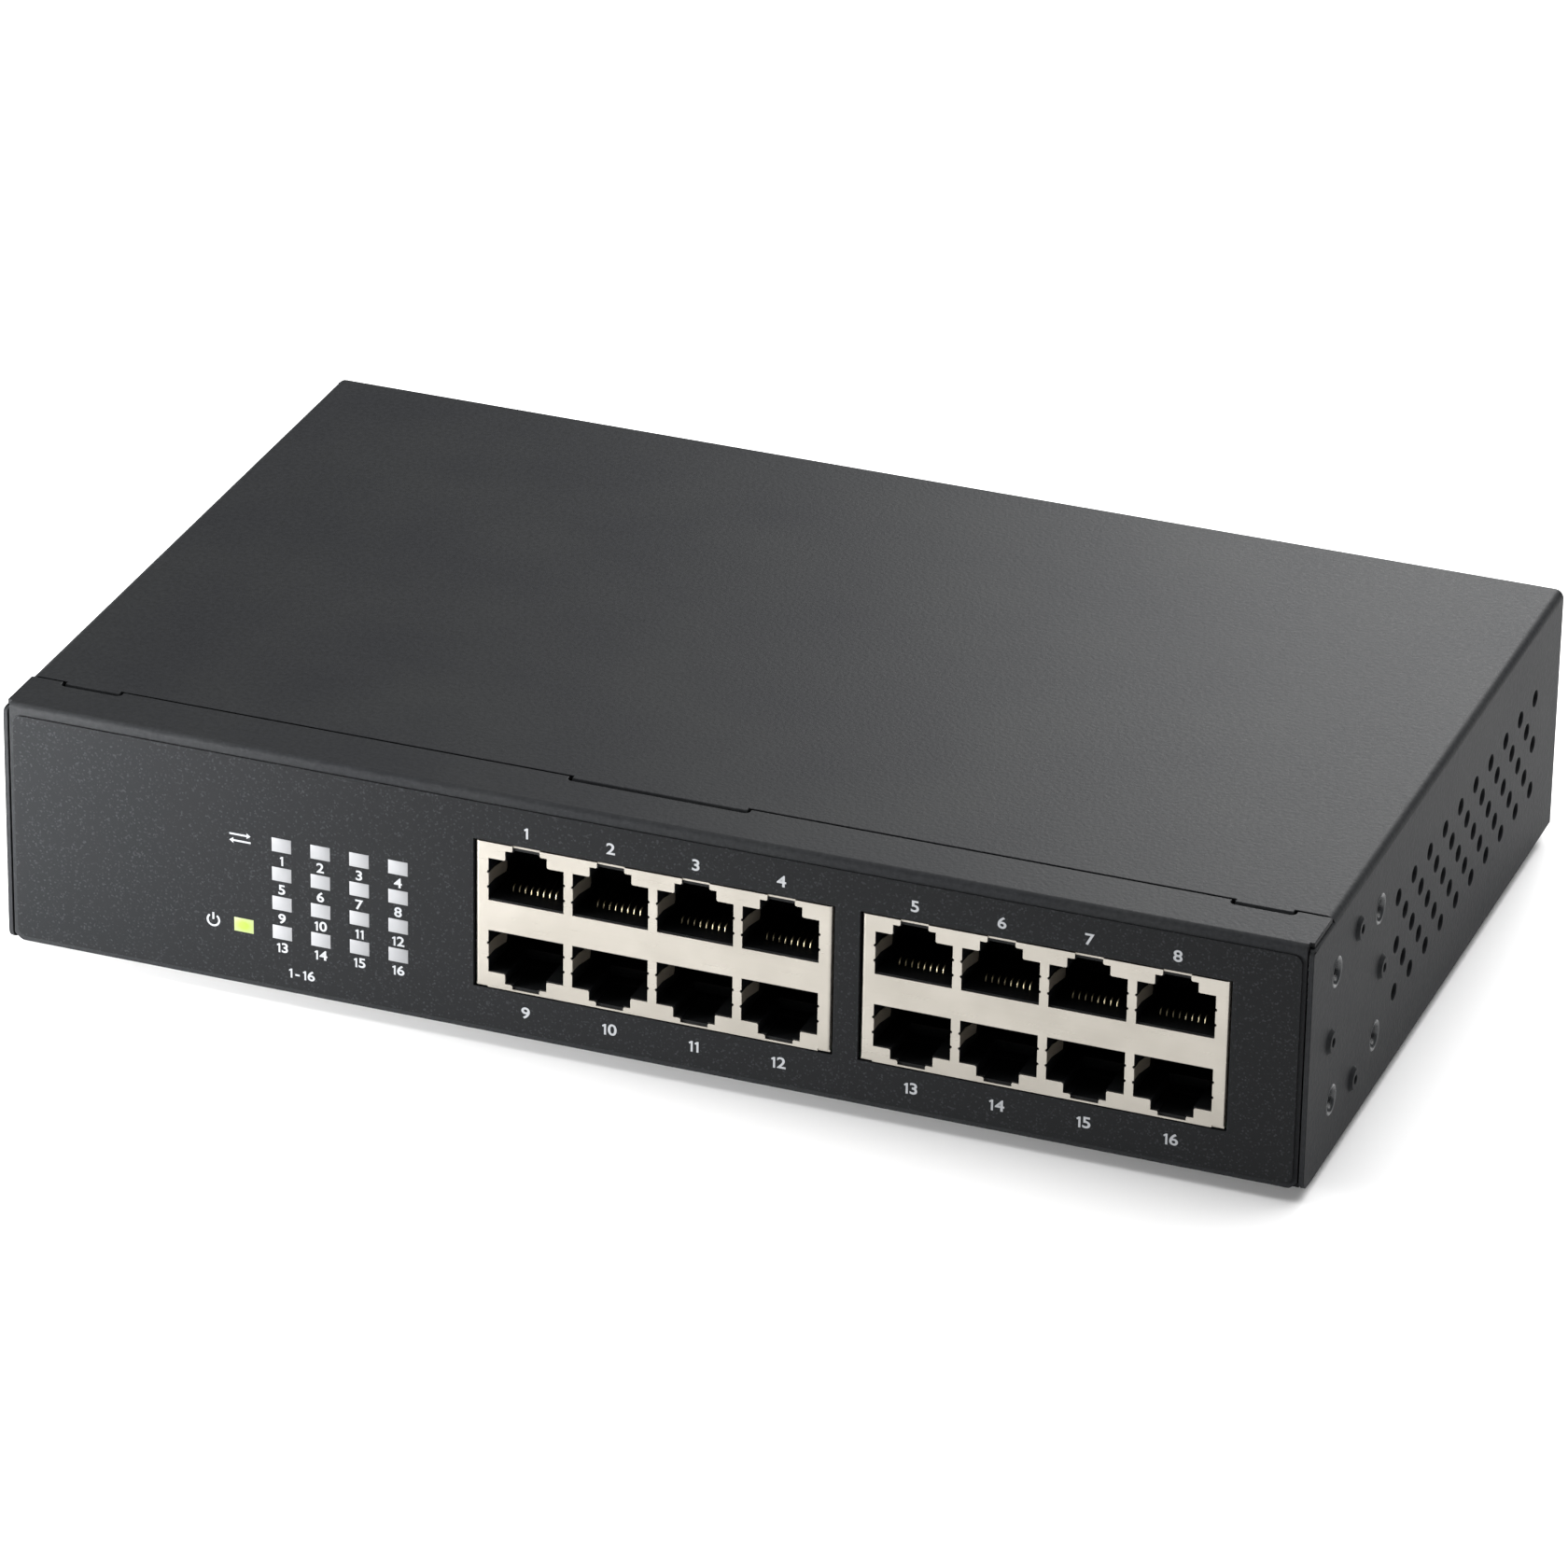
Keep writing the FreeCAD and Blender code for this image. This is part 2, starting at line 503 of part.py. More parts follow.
def make_jack_shield(name, side):
    """Tinned steel can: face with eight stepped ports, grounding fingers, top, sides and back."""
    shield = new_body(f"{name}_jack_shield")
    middle, back = jack_x(side), f"({FACE} + jack_depth)"
    sketch = new_sketch(shield, "XY_Plane", BOARD_TOP)
    rectangle(sketch, about(middle, "jack_width"), (FACE, back))
    pad(shield, sketch, "jack_height")
    corners = [(number(x), number(FACE)) for x in about(middle, "jack_width")]
    round_edges(shield, edges_at(shield.Shape, "Z", corners), "2 * shield_gauge")
    sketch = new_sketch(shield, "XY_Plane", BOARD_TOP)
    rectangle(sketch, about(middle, "jack_width - 2 * shield_gauge"),
              (f"{FACE} + shield_gauge", f"{back} - shield_gauge"))
    pocket(shield, sketch, "jack_height - shield_gauge", backwards=True)
    sketch = new_sketch(shield, "XY_Plane", BOARD_TOP)
    rectangle(sketch, about(middle, "jack_width - shield_gauge"), (f"{FACE} + shield_gauge / 2", f"{FACE} + 6"))
    pad(shield, sketch, "shield_gauge")

    sketch = new_sketch(shield, "XZ_Plane", f"1 - ({FACE})")
    for x in port_columns(side):
        for row in (1, -1):
            polygon(sketch, port_outline(x, row))
    for sign in ("-", "+"):
        edge = f"{middle} {sign} jack_width / 2"
        inner = f"{middle} {sign} (jack_width / 2 - 2)"
        rectangle(sketch, (inner, f"{edge} {sign} 1"), (f"{BOARD_TOP} - 1", f"{BOARD_TOP} + 0.4"))
    pocket(shield, sketch, "1 + shield_gauge")

    # The lips' ends are rounded.
    lips = []
    for x in port_columns(side):
        for row in (1, -1):
            for sign in ("-", "+"):
                heights = ("port_offset + port_tall", "port_offset + port_tall + key_rise")
                for reach, rise in zip(("key_half", "latch_half"), heights):
                    lips.append((number(f"{x} {sign} {reach}"), number(f"{JACK_CENTRE} + {row} * ({rise})")))
    round_edges(shield, edges_at(shield.Shape, "Y", lips), "shield_gauge")

    # Relief notches above and below the root of each finger.
    sketch = new_sketch(shield, "XZ_Plane", f"1 - ({FACE})")
    for x in port_columns(side):
        for row in (1, -1):
            for sign in ("-", "+"):
                for end in (-1, 1):
                    height = f"{JACK_CENTRE} + {row} * (port_offset + finger_place) + {end} * (finger_height / 2 + 0.25)"
                    circle(sketch, f"{x} {sign} port_half", height, "0.25")
    pocket(shield, sketch, "1 + shield_gauge")

    # Fingers fold back from the face into the port and bow towards its middle.
    bow = [("0.1", "-0.2"), ("0.1", "0.05"), ("2.4", "0.05"), ("5.4", "0.8"), ("6.6", "0.45"),
           ("6.6", "0.25"), ("5.4", "0.6"), ("2.4", "-0.15"), ("0.3", "-0.15"), ("0.3", "-0.2")]
    for row in (1, -1):
        centre = f"{JACK_CENTRE} + {row} * (port_offset + finger_place)"
        sketch = new_sketch(shield, "XY_Plane", f"{centre} - finger_height / 2")
        for x in port_columns(side):
            for sign in ("-", "+"):
                polygon(sketch, [(f"{x} {sign} (port_half - {inward})", f"{FACE} + {along}") for along, inward in bow])
        pad(shield, sketch, "finger_height")
    return shield


def make_jack_housing(name, side):
    """Black moulding inside the shield, with a cavity for each plug."""
    housing = new_body(f"{name}_jack_housing")
    sketch = new_sketch(housing, "XY_Plane", f"{BOARD_TOP} + shield_gauge")
    rectangle(sketch, about(jack_x(side), "jack_width - 2 * shield_gauge - 0.2"),
              (f"{FACE} + shield_gauge", f"{FACE} + jack_depth - shield_gauge - 0.1"))
    pad(housing, sketch, "jack_height - 2 * shield_gauge")
    cavities = [
        ("cavity_half", "port_offset + 0.25", "port_offset + port_tall - 0.1", "cavity_depth"),
        ("key_half - 0.1", "port_offset + port_tall - 0.5", "port_offset + port_tall + key_rise - 0.1", "9"),
        ("latch_half - 0.1", "port_offset + port_tall + 1", "jack_height / 2 - 2.5 * shield_gauge", "7"),
    ]
    for half, low, high, depth in cavities:
        sketch = new_sketch(housing, "XZ_Plane", f"1 - ({FACE})")
        for x in port_columns(side):
            for row in (1, -1):
                rectangle(sketch, about(x, f"2 * ({half})"),
                          (f"{JACK_CENTRE} + {row} * ({low})", f"{JACK_CENTRE} + {row} * ({high})"))
        pocket(housing, sketch, f"1 + {depth}")
    return housing


def make_jack_contacts(name, side):
    """Eight sprung wires in each port, along the wall opposite the latch."""
    wire = number("contact_wire")
    face, centre = number(FACE), number(JACK_CENTRE)
    base = number("port_offset + 0.25")
    # Depth behind the face and height above the cavity's wall, along the wire's upper side.
    path = [(3.5, 0.0), (3.7, 0.75), (11.0, 2.3), (13.0, 2.3)]
    under = [(13.0, 2.3 - wire), (11.1, 2.3 - wire), (3.7 + wire, 0.75 - wire), (3.5 + wire, 0.0)]
    wires = []
    for x in port_columns(side):
        for row in (1, -1):
            outline = [FreeCAD.Vector(0, face + depth, centre + row * (base + rise)) for depth, rise in path + under]
            section = Part.Face(Part.makePolygon(outline + outline[:1]))
            solid = section.extrude(FreeCAD.Vector(number("contact_width"), 0, 0))
            for pin in range(8):
                shift = number(f"{x} + {pin - 3.5} * contact_pitch - contact_width / 2")
                wires.append(solid.translated(FreeCAD.Vector(shift, 0, 0)))
    contacts = doc.addObject("Part::Feature", f"{name}_contacts")
    contacts.Shape = Part.makeCompound(wires)
    return keep(contacts, f"{name}_jack_contacts")


# ---------------------------------------------------------------- boards

MAIN_POSTS = [("-31.8", f"{FACE} + 9"), ("98.2", f"{FACE} + 9"), ("main_left + 4", f"{FACE} + main_back - 4"),
              ("main_right - 4", f"{FACE} + main_back - 4")]
SUPPLY_POSTS = [(f"supply_{x} {inset}", f"{FACE} + supply_{y}") for x, inset in (("left", "+ 4"), ("right", "- 4"))
                for y in ("front + 4", "back - 4")]


def make_board(label, x_range, y_range, posts):
    holes = [rod((x, y, f"{BOARD_BOTTOM} - 1"), "thread_radius + 0.2", "board_thickness + 2") for x, y in posts]
    slab = block(x_range, y_range, (BOARD_BOTTOM, BOARD_TOP))
    return cut(slab, holes, label)


def make_boards():
    make_board("main_board", ("main_left", "main_right"), (f"{FACE} + main_front", f"{FACE} + main_back"), MAIN_POSTS)
    make_board("psu_board", ("supply_left", "supply_right"), (f"{FACE} + supply_front", f"{FACE} + supply_back"),
               SUPPLY_POSTS)
    posts = []
    screws = []
    for x, y in MAIN_POSTS + SUPPLY_POSTS:
        pillar = rod((x, y, f"{FLOOR} + gauge"), "standoff_radius", f"{BOARD_BOTTOM} - {FLOOR} - gauge")
        bore = rod((x, y, f"{BOARD_BOTTOM} - 5"), "thread_radius", "6")
        posts.append(cut(pillar, [bore]))
        shank = rod((x, y, f"{BOARD_BOTTOM} - 4"), "thread_radius", "board_thickness + 4.2")
        head = rod((x, y, BOARD_TOP), "head_radius", "2")
        screws.append(fused([shank, head]))
    group("board_standoffs", posts)
    group("board_screws", screws)
    block(("supply_left + 8", "supply_right - 8"), (f"{FACE} + supply_front", f"{FACE} + supply_back"),
          (f"{FLOOR} + gauge", f"{FLOOR} + gauge + 0.3"), "psu_insulator")


def on_board(x, y, length, breadth, height, label=None):
    """Box-shaped component standing on a board, its middle at x and at y behind the label."""
    return block(about(x, length), about(f"{FACE} + {y}", breadth), (BOARD_TOP, f"{BOARD_TOP} + {height}"), label)


def can_on_board(x, y, radius, height, label=None):
    return rod((x, f"{FACE} + {y}", BOARD_TOP), radius, height, label=label)


CHIP = ("32", "56")


def make_heatsink(label, middle, depth, bottom, length, breadth, height, fins):
    """Extruded plate with upright fins that run front to back."""
    sink = new_body(label)
    x_range = about(middle, length)
    y_range = about(f"{FACE} + {depth}", breadth)
    sketch = new_sketch(sink, "XY_Plane", bottom)
    rectangle(sketch, x_range, y_range)
    pad(sink, sketch, height)
    pitch = f"({length} - fin_thickness) / {fins - 1}"
    sketch = new_sketch(sink, "XY_Plane", f"{bottom} + {height} + 1")
    start = f"{x_range[0]} + fin_thickness"
    rectangle(sketch, (start, f"{start} + {pitch} - fin_thickness"), (f"{y_range[0]} - 1", f"{y_range[1]} + 1"))
    slot = pocket(sink, sketch, f"{height} - sink_base")
    pattern = sink.newObject("PartDesign::LinearPattern", "Pattern")
    pattern.Originals = [slot]
    pattern.Direction = (sketch, ["H_Axis"])
    pattern.Occurrences = fins - 1
    pattern.setExpression("Length", bound(f"({fins - 2}) * {pitch}"))
    sink.Tip = pattern
    doc.recompute()
    return sink


def make_main_components():
    on_board(*CHIP, "24", "24", "chip_height", "switch_chip")
    top = f"({BOARD_TOP} + chip_height)"
    block(about(CHIP[0], "22"), about(f"{FACE} + {CHIP[1]}", "22"), (top, f"{top} + pad_height"), "thermal_pad")
    make_heatsink("chip_heatsink", CHIP[0], CHIP[1], f"({top} + pad_height)", "38", "34", "11", 10)
    magnetics = [on_board(f"{x}", "30", "12.8", "9", "6") for side in (0, 1) for x in port_columns(side)]
    group("line_transformers", magnetics)
    on_board("4", "50", "11", "4.6", "3.6", "clock_crystal")
    on_board("4", "62", "5", "4", "1.6", "memory_chip")
    on_board("64", "52", "6.4", "6.4", "1.6", "core_regulator")
    group("regulator_inductors", [on_board(x, "64", "8", "8", "4") for x in ("60", "71")])
    cans = [can_on_board(x, "46", "3.15", "7.7") for x in ("76", "84", "92")]
    cans += [can_on_board(x, "69", "4", "11.5") for x in ("-20", "-9")]
    group("board_capacitors", cans)


def make_supply_components():
    on_board("-46", "115", "18", "8.5", "14", "suppression_capacitor")
    rod(("-48", f"{FACE} + 102", f"{BOARD_TOP} + 4"), "2.6", "20", axis="X", label="mains_fuse")
    choke = doc.addObject("Part::Torus", "Choke")
    choke.Radius1 = 6.5
    choke.Radius2 = 3.4
    for axis, formula in zip("xyz", ("-60", f"{FACE} + 92", f"{BOARD_TOP} + 3.4")):
        choke.setExpression(f"Placement.Base.{axis}", bound(formula))
    keep(choke, "suppression_choke")
    on_board("-82", "94", "15", "4", "11", "bridge_rectifier")
    can_on_board("-24", "108", "8", "27", "bulk_capacitor")

    # Ferrite frame with the winding through its window.
    frame = on_board("-4", "106", "26", "9", "21")
    window = block(about("-4", "18"), about(f"{FACE} + 106", "11"), (f"{BOARD_TOP} + 4", f"{BOARD_TOP} + 17"))
    cut(frame, [window], "transformer_core")
    block(about("-4", "17.6"), about(f"{FACE} + 106", "20"), (f"{BOARD_TOP} + 4.2", f"{BOARD_TOP} + 16.8"),
          "transformer_coil")

    make_heatsink("transistor_heatsink", "-36", "90", BOARD_TOP, "22", "9", "24", 4)
    on_board("-36", "97", "10", "4.6", "16", "switching_transistor")
    group("output_capacitors", [can_on_board(x, "124", "4", "16") for x in ("-12", "-2")])
    on_board("-14", "90", "6.5", "4.6", "3.6", "opto_coupler")


def make_supply_lead():
    """Two wires from the power supply's board to the main board, in a plug at each end."""
    ends = [("-2", "88"), ("-33", "72")]
    sockets = []
    plugs = []
    for x, y in ends:
        shell = on_board(x, y, "9.4", "6.2", "7")
        sockets.append(cut(shell, [block(about(x, "7.8"), about(f"{FACE} + {y}", "4.6"),
                                         (f"{BOARD_TOP} + 1.5", f"{BOARD_TOP} + 8"))]))
        plugs.append(block(about(x, "7.6"), about(f"{FACE} + {y}", "4.4"), (f"{BOARD_TOP} + 1.5", f"{BOARD_TOP} + 9")))
    group("supply_sockets", sockets)
    group("supply_plugs", plugs)

    low, high, turn = number(f"{BOARD_TOP} + 9"), number(f"{BOARD_TOP} + 26"), 9.0
    wires = []
    for shift in (-2.0, 2.0):
        start, end = [FreeCAD.Vector(number(x) + shift, number(f"{FACE} + {y}"), 0) for x, y in ends]
        along = (end - start).normalize()

        def point(base, step, height):
            return base + along * step + FreeCAD.Vector(0, 0, height)

        lean = turn * (1 - 0.5 ** 0.5)
        path = Part.Wire([
            Part.LineSegment(point(start, 0, low), point(start, 0, high - turn)).toShape(),
            Part.Arc(point(start, 0, high - turn), point(start, lean, high - lean), point(start, turn, high)).toShape(),
            Part.LineSegment(point(start, turn, high), point(end, -turn, high)).toShape(),
            Part.Arc(point(end, -turn, high), point(end, -lean, high - lean), point(end, 0, high - turn)).toShape(),
            Part.LineSegment(point(end, 0, high - turn), point(end, 0, low)).toShape()])
        ring = Part.makeCircle(0.9, point(start, 0, low), FreeCAD.Vector(0, 0, 1))
        wires.append(path.makePipeShell([Part.Wire(ring)], True, False))
    lead = doc.addObject("Part::Feature", "SupplyWires")
    lead.Shape = Part.makeCompound(wires)
    keep(lead, "supply_wires")


def make_inlet():
    """Appliance inlet soldered to the supply board, looking out through the rear wall."""
    middle = "inlet_middle"
    front_end = f"{REAR_WALL} - inlet_depth"
    shell = block(about(middle, "inlet_width"), (front_end, REAR_WALL), (BOARD_TOP, f"{BOARD_TOP} + inlet_height"))
    flange = block(about(middle, "inlet_width + 3.6"), (REAR_WALL, f"{REAR_WALL} + inlet_flange"),
                   about(INLET_MIDDLE_HEIGHT, "inlet_height + 3"))
    recess = block(about(middle, "cavity_width"), (f"{front_end} + inlet_floor", f"{REAR_WALL} + inlet_flange + 1"),
                   about(INLET_MIDDLE_HEIGHT, "cavity_height"))
    corners = []
    for sign in (-1, 1):
        # Turned by 45 degrees about its own corner, so it moves back by half its diagonal.
        corner = block(about(middle, "inlet_corner"), (f"{front_end} + inlet_floor", f"{REAR_WALL} + inlet_flange"),
                       about("0", "inlet_corner"))
        corner.Placement.Rotation = FreeCAD.Rotation(FreeCAD.Vector(0, 1, 0), 45)
        half_diagonal = "inlet_corner / 2 ^ 0.5"
        corner.setExpression("Placement.Base.x", bound(f"{middle} + {sign} * cavity_width / 2 - {half_diagonal}"))
        corner.setExpression("Placement.Base.z", bound(f"{INLET_MIDDLE_HEIGHT} + cavity_height / 2"))
        corners.append(corner)
    mouth = cut(recess, corners)
    cut(fused([shell, flange]), [mouth], "ac_inlet")

    # Earth above, line and neutral below, each a flat blade.
    blades = [(middle, f"{INLET_MIDDLE_HEIGHT} + 2"),
              (f"{middle} - blade_spacing / 2", f"{INLET_MIDDLE_HEIGHT} - 2"),
              (f"{middle} + blade_spacing / 2", f"{INLET_MIDDLE_HEIGHT} - 2")]
    group("inlet_pins", [block(about(x, "blade_width"), (f"{front_end} + inlet_floor", f"{REAR_WALL} - 1"),
                               about(height, "blade_height")) for x, height in blades])


def make_fasteners_and_feet():
    screws = []
    for x in LIP_SCREWS:
        shank = rod((x, f"{BACK} - 6", LIP_SCREW_HEIGHT), "thread_radius", "6.2", axis="Y")
        head = rod((x, BACK, LIP_SCREW_HEIGHT), "head_radius", "screw_head", axis="Y")
        screws.append(fused([shank, head]))
    group("cover_screws", screws)
    x, height = GROUND_SCREW
    shank = rod((x, f"{REAR_WALL} - 6", height), "thread_radius", "6.2", axis="Y")
    head = rod((x, REAR_WALL, height), "head_radius + 0.4", "screw_head", axis="Y")
    fused([shank, head], "ground_screw")
    feet = [rod((f"{i} * (width / 2 - 15)", f"{j} * (depth / 2 - 14)", "0"), "4.6", "foot_height", tip_radius="5.2")
            for i in (-1, 1) for j in (-1, 1)]
    group("rubber_feet", feet)


make_base_pan()
make_top_cover()
make_front_label()
make_lamps()
for side, name in enumerate(("left", "right")):
    make_jack_shield(name, side)
    make_jack_housing(name, side)
    make_jack_contacts(name, side)
make_boards()
make_main_components()
make_supply_components()
make_supply_lead()
make_inlet()
make_fasteners_and_feet()

doc.recompute()
for item in doc.Objects:
    if {"Invalid", "Error"} & set(item.State):
        raise RuntimeError(f"{item.Name} ({item.Label}) failed: {item.State}")
for piece in subparts:
    if piece.Shape.isNull() or not piece.Shape.isValid():
        raise RuntimeError(f"{piece.Label} has no valid shape")

os.makedirs("parts", exist_ok=True)
for piece in subparts:
    piece.Shape.exportStep(f"parts/{piece.Label}.step")
    box = piece.Shape.BoundBox
    print(f"{piece.Label:24s} {len(piece.Shape.Solids):3d} solids  {piece.Shape.Volume:10.1f} mm3 "
          f"x {box.XMin:8.2f} {box.XMax:8.2f}  y {box.YMin:8.2f} {box.YMax:8.2f}  z {box.ZMin:6.2f} {box.ZMax:6.2f}")
print(len(subparts), "nodes")
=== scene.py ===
import bmesh
import bpy
import json
import math
from mathutils import Matrix, Vector


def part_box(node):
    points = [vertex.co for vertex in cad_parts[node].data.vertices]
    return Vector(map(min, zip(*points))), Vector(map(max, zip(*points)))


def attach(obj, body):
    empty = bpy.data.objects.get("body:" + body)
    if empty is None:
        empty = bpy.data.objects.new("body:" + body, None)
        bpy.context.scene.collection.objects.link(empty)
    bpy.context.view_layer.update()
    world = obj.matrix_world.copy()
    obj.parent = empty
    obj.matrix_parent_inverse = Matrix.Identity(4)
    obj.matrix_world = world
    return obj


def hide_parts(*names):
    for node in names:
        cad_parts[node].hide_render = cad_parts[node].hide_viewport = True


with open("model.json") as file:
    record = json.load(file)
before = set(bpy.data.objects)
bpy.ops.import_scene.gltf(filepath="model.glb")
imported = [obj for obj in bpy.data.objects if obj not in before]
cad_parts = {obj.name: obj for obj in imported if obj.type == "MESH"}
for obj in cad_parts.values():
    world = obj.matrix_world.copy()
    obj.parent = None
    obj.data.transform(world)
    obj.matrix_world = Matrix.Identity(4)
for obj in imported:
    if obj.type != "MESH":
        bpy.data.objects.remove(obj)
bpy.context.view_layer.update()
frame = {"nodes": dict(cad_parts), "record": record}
mm = 0.001
scene = bpy.context.scene
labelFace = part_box("front_label")[0].y  # the printed surface at the front
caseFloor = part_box("base_pan")[0].z
weldDistance = 0.002 * mm  # corners nearer than this are one corner
sharpAngle = math.radians(32)  # edges that turn more than this stay crisp
print("frame loaded:", len(frame["nodes"]), "nodes")


# Small helpers that everything below uses.

def colour(text):  # sRGB hex to the linear values that shaders take
    parts = [int(text[i:i + 2], 16) / 255 for i in (1, 3, 5)]
    return (*[p / 12.92 if p <= 0.04045 else ((p + 0.055) / 1.055) ** 2.4 for p in parts], 1.0)


def addNode(tree, kind, inputs=None, **settings):
    node = tree.nodes.new(kind)
    for name, value in settings.items():
        setattr(node, name, value)
    for name, value in (inputs or {}).items():
        if isinstance(value, bpy.types.NodeSocket):
            tree.links.new(value, node.inputs[name])
        else:
            node.inputs[name].default_value = value
    return node


def newMaterial(name, **constants):
    material = bpy.data.materials.new(name)
    material.use_nodes = True
    tree = material.node_tree
    tree.nodes.clear()
    constants = {name.replace("_", " "): value for name, value in constants.items()}
    surface = addNode(tree, "ShaderNodeBsdfPrincipled", constants)
    addNode(tree, "ShaderNodeOutputMaterial", {"Surface": surface.outputs["BSDF"]})
    place = addNode(tree, "ShaderNodeTexCoord").outputs["Object"]
    return material, tree, surface, place


def grain(tree, place, size, detail=3.0, stretch=(1, 1, 1)):  # noise with lumps of a real size in metres
    spread = addNode(tree, "ShaderNodeMapping", {"Vector": place, "Scale": stretch})
    noise = addNode(tree, "ShaderNodeTexNoise", {"Vector": spread.outputs["Vector"], "Scale": 1 / size,
                                                 "Detail": detail})
    return noise.outputs["Fac"]


def between(tree, amount, low, high, start=0.3, end=0.7):  # two colours mixed by a pattern
    ramp = addNode(tree, "ShaderNodeValToRGB", {"Fac": amount})
    ramp.color_ramp.elements[0].position = start
    ramp.color_ramp.elements[0].color = low if isinstance(low, tuple) else (low, low, low, 1)
    ramp.color_ramp.elements[1].position = end
    ramp.color_ramp.elements[1].color = high if isinstance(high, tuple) else (high, high, high, 1)
    return ramp.outputs["Color"]


def emboss(tree, surface, height, depth, strength=1.0):  # bump of a real depth in metres
    bump = addNode(tree, "ShaderNodeBump", {"Height": height, "Distance": depth, "Strength": strength})
    tree.links.new(bump.outputs["Normal"], surface.inputs["Normal"])


def newTree(name, sockets):
    tree = bpy.data.node_groups.new(name, "GeometryNodeTree")
    tree.is_modifier = True
    tree.interface.new_socket("Geometry", in_out="INPUT", socket_type="NodeSocketGeometry")
    for label, kind in sockets.items():
        tree.interface.new_socket(label, in_out="INPUT", socket_type="NodeSocket" + kind)
    tree.interface.new_socket("Geometry", in_out="OUTPUT", socket_type="NodeSocketGeometry")
    return tree, addNode(tree, "NodeGroupInput").outputs


def endTree(tree, geometry, material):  # real geometry with its finish, as the export needs
    real = addNode(tree, "GeometryNodeRealizeInstances", {"Geometry": geometry})
    painted = addNode(tree, "GeometryNodeSetMaterial", {"Geometry": real.outputs["Geometry"],
                                                        "Material": material})
    addNode(tree, "NodeGroupOutput", {"Geometry": painted.outputs["Geometry"]})
    return tree


def makeRowTree():  # a stamp repeated along one step, and that row repeated along a second step
    tree, given = newTree("stampRows", {
        "Stamp": "Object", "Start": "Vector", "Count": "Int", "Step": "Vector",
        "Rows": "Int", "RowStep": "Vector", "Finish": "Material",
    })
    rows = addNode(tree, "GeometryNodeMeshLine", {"Count": given["Rows"], "Start Location": given["Start"],
                                                  "Offset": given["RowStep"]}, mode="OFFSET")
    row = addNode(tree, "GeometryNodeMeshLine", {"Count": given["Count"], "Offset": given["Step"]},
                  mode="OFFSET")
    grid = addNode(tree, "GeometryNodeInstanceOnPoints", {"Points": rows.outputs["Mesh"],
                                                          "Instance": row.outputs["Mesh"]})
    points = addNode(tree, "GeometryNodeRealizeInstances", {"Geometry": grid.outputs["Instances"]})
    stamp = addNode(tree, "GeometryNodeObjectInfo", {"Object": given["Stamp"]})
    placed = addNode(tree, "GeometryNodeInstanceOnPoints", {"Points": points.outputs["Geometry"],
                                                            "Instance": stamp.outputs["Geometry"]})
    return endTree(tree, placed.outputs["Instances"], given["Finish"])


def makeSpotTree():  # a stamp on every vertex of the host, turned by one angle
    tree, given = newTree("stampSpots", {"Stamp": "Object", "Turn": "Vector", "Finish": "Material"})
    stamp = addNode(tree, "GeometryNodeObjectInfo", {"Object": given["Stamp"]})
    placed = addNode(tree, "GeometryNodeInstanceOnPoints", {"Points": given["Geometry"],
                                                            "Rotation": given["Turn"],
                                                            "Instance": stamp.outputs["Geometry"]})
    return endTree(tree, placed.outputs["Instances"], given["Finish"])


def makeWireTree():  # round wire along the host's edges, with rounded bends
    tree, given = newTree("bentWire", {"Radius": "Float", "Bend": "Float", "Finish": "Material"})
    line = addNode(tree, "GeometryNodeMeshToCurve", {"Mesh": given["Geometry"]})
    bent = addNode(tree, "GeometryNodeFilletCurve", {"Curve": line.outputs["Curve"], "Radius": given["Bend"],
                                                     "Count": 3, "Limit Radius": True}, mode="POLY")
    ring = addNode(tree, "GeometryNodeCurvePrimitiveCircle", {"Radius": given["Radius"], "Resolution": 8})
    tube = addNode(tree, "GeometryNodeCurveToMesh", {"Curve": bent.outputs["Curve"], "Fill Caps": True,
                                                     "Profile Curve": ring.outputs["Curve"]})
    return endTree(tree, tube.outputs["Mesh"], given["Finish"])


rowTree, spotTree, wireTree = makeRowTree(), makeSpotTree(), makeWireTree()


def meshOf(vertices, edges=(), faces=()):
    mesh = bpy.data.meshes.new("made")
    mesh.from_pydata([tuple(v) for v in vertices], list(edges), list(faces))
    return mesh


def holder(mesh):  # a passing object that shows a mesh to a modifier
    made = bpy.data.objects.new("holder", mesh)
    scene.collection.objects.link(made)
    return made


def flatten(host):  # the host with its modifiers worked in, as a plain mesh
    bpy.context.view_layer.update()
    mesh = bpy.data.meshes.new_from_object(host.evaluated_get(bpy.context.evaluated_depsgraph_get()))
    bpy.data.objects.remove(host)
    return mesh


def runTree(tree, hostMesh, **values):
    host = holder(hostMesh)
    modifier = host.modifiers.new("tree", "NODES")
    modifier.node_group = tree
    stamps = []
    for socket in tree.interface.items_tree:
        if socket.in_out == "INPUT" and socket.name in values:
            value = values[socket.name]
            if isinstance(value, bpy.types.Mesh):
                value = holder(value)
                stamps.append(value)
            modifier[socket.identifier] = value
    mesh = flatten(host)
    for stamp in stamps:
        bpy.data.objects.remove(stamp)
    return mesh


def addPiece(name, meshes, slot, *nodes, material=None):
    build = bmesh.new()
    for mesh in meshes if isinstance(meshes, list) else [meshes]:
        build.from_mesh(mesh)
    joined = bpy.data.meshes.new(name)
    build.to_mesh(joined)
    build.free()
    joined.materials.clear()
    joined.materials.append(material or slotMaterials[slot])
    piece = bpy.data.objects.new(name, joined)
    scene.collection.objects.link(piece)
    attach(piece, "root")
    if nodes:
        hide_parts(*nodes)


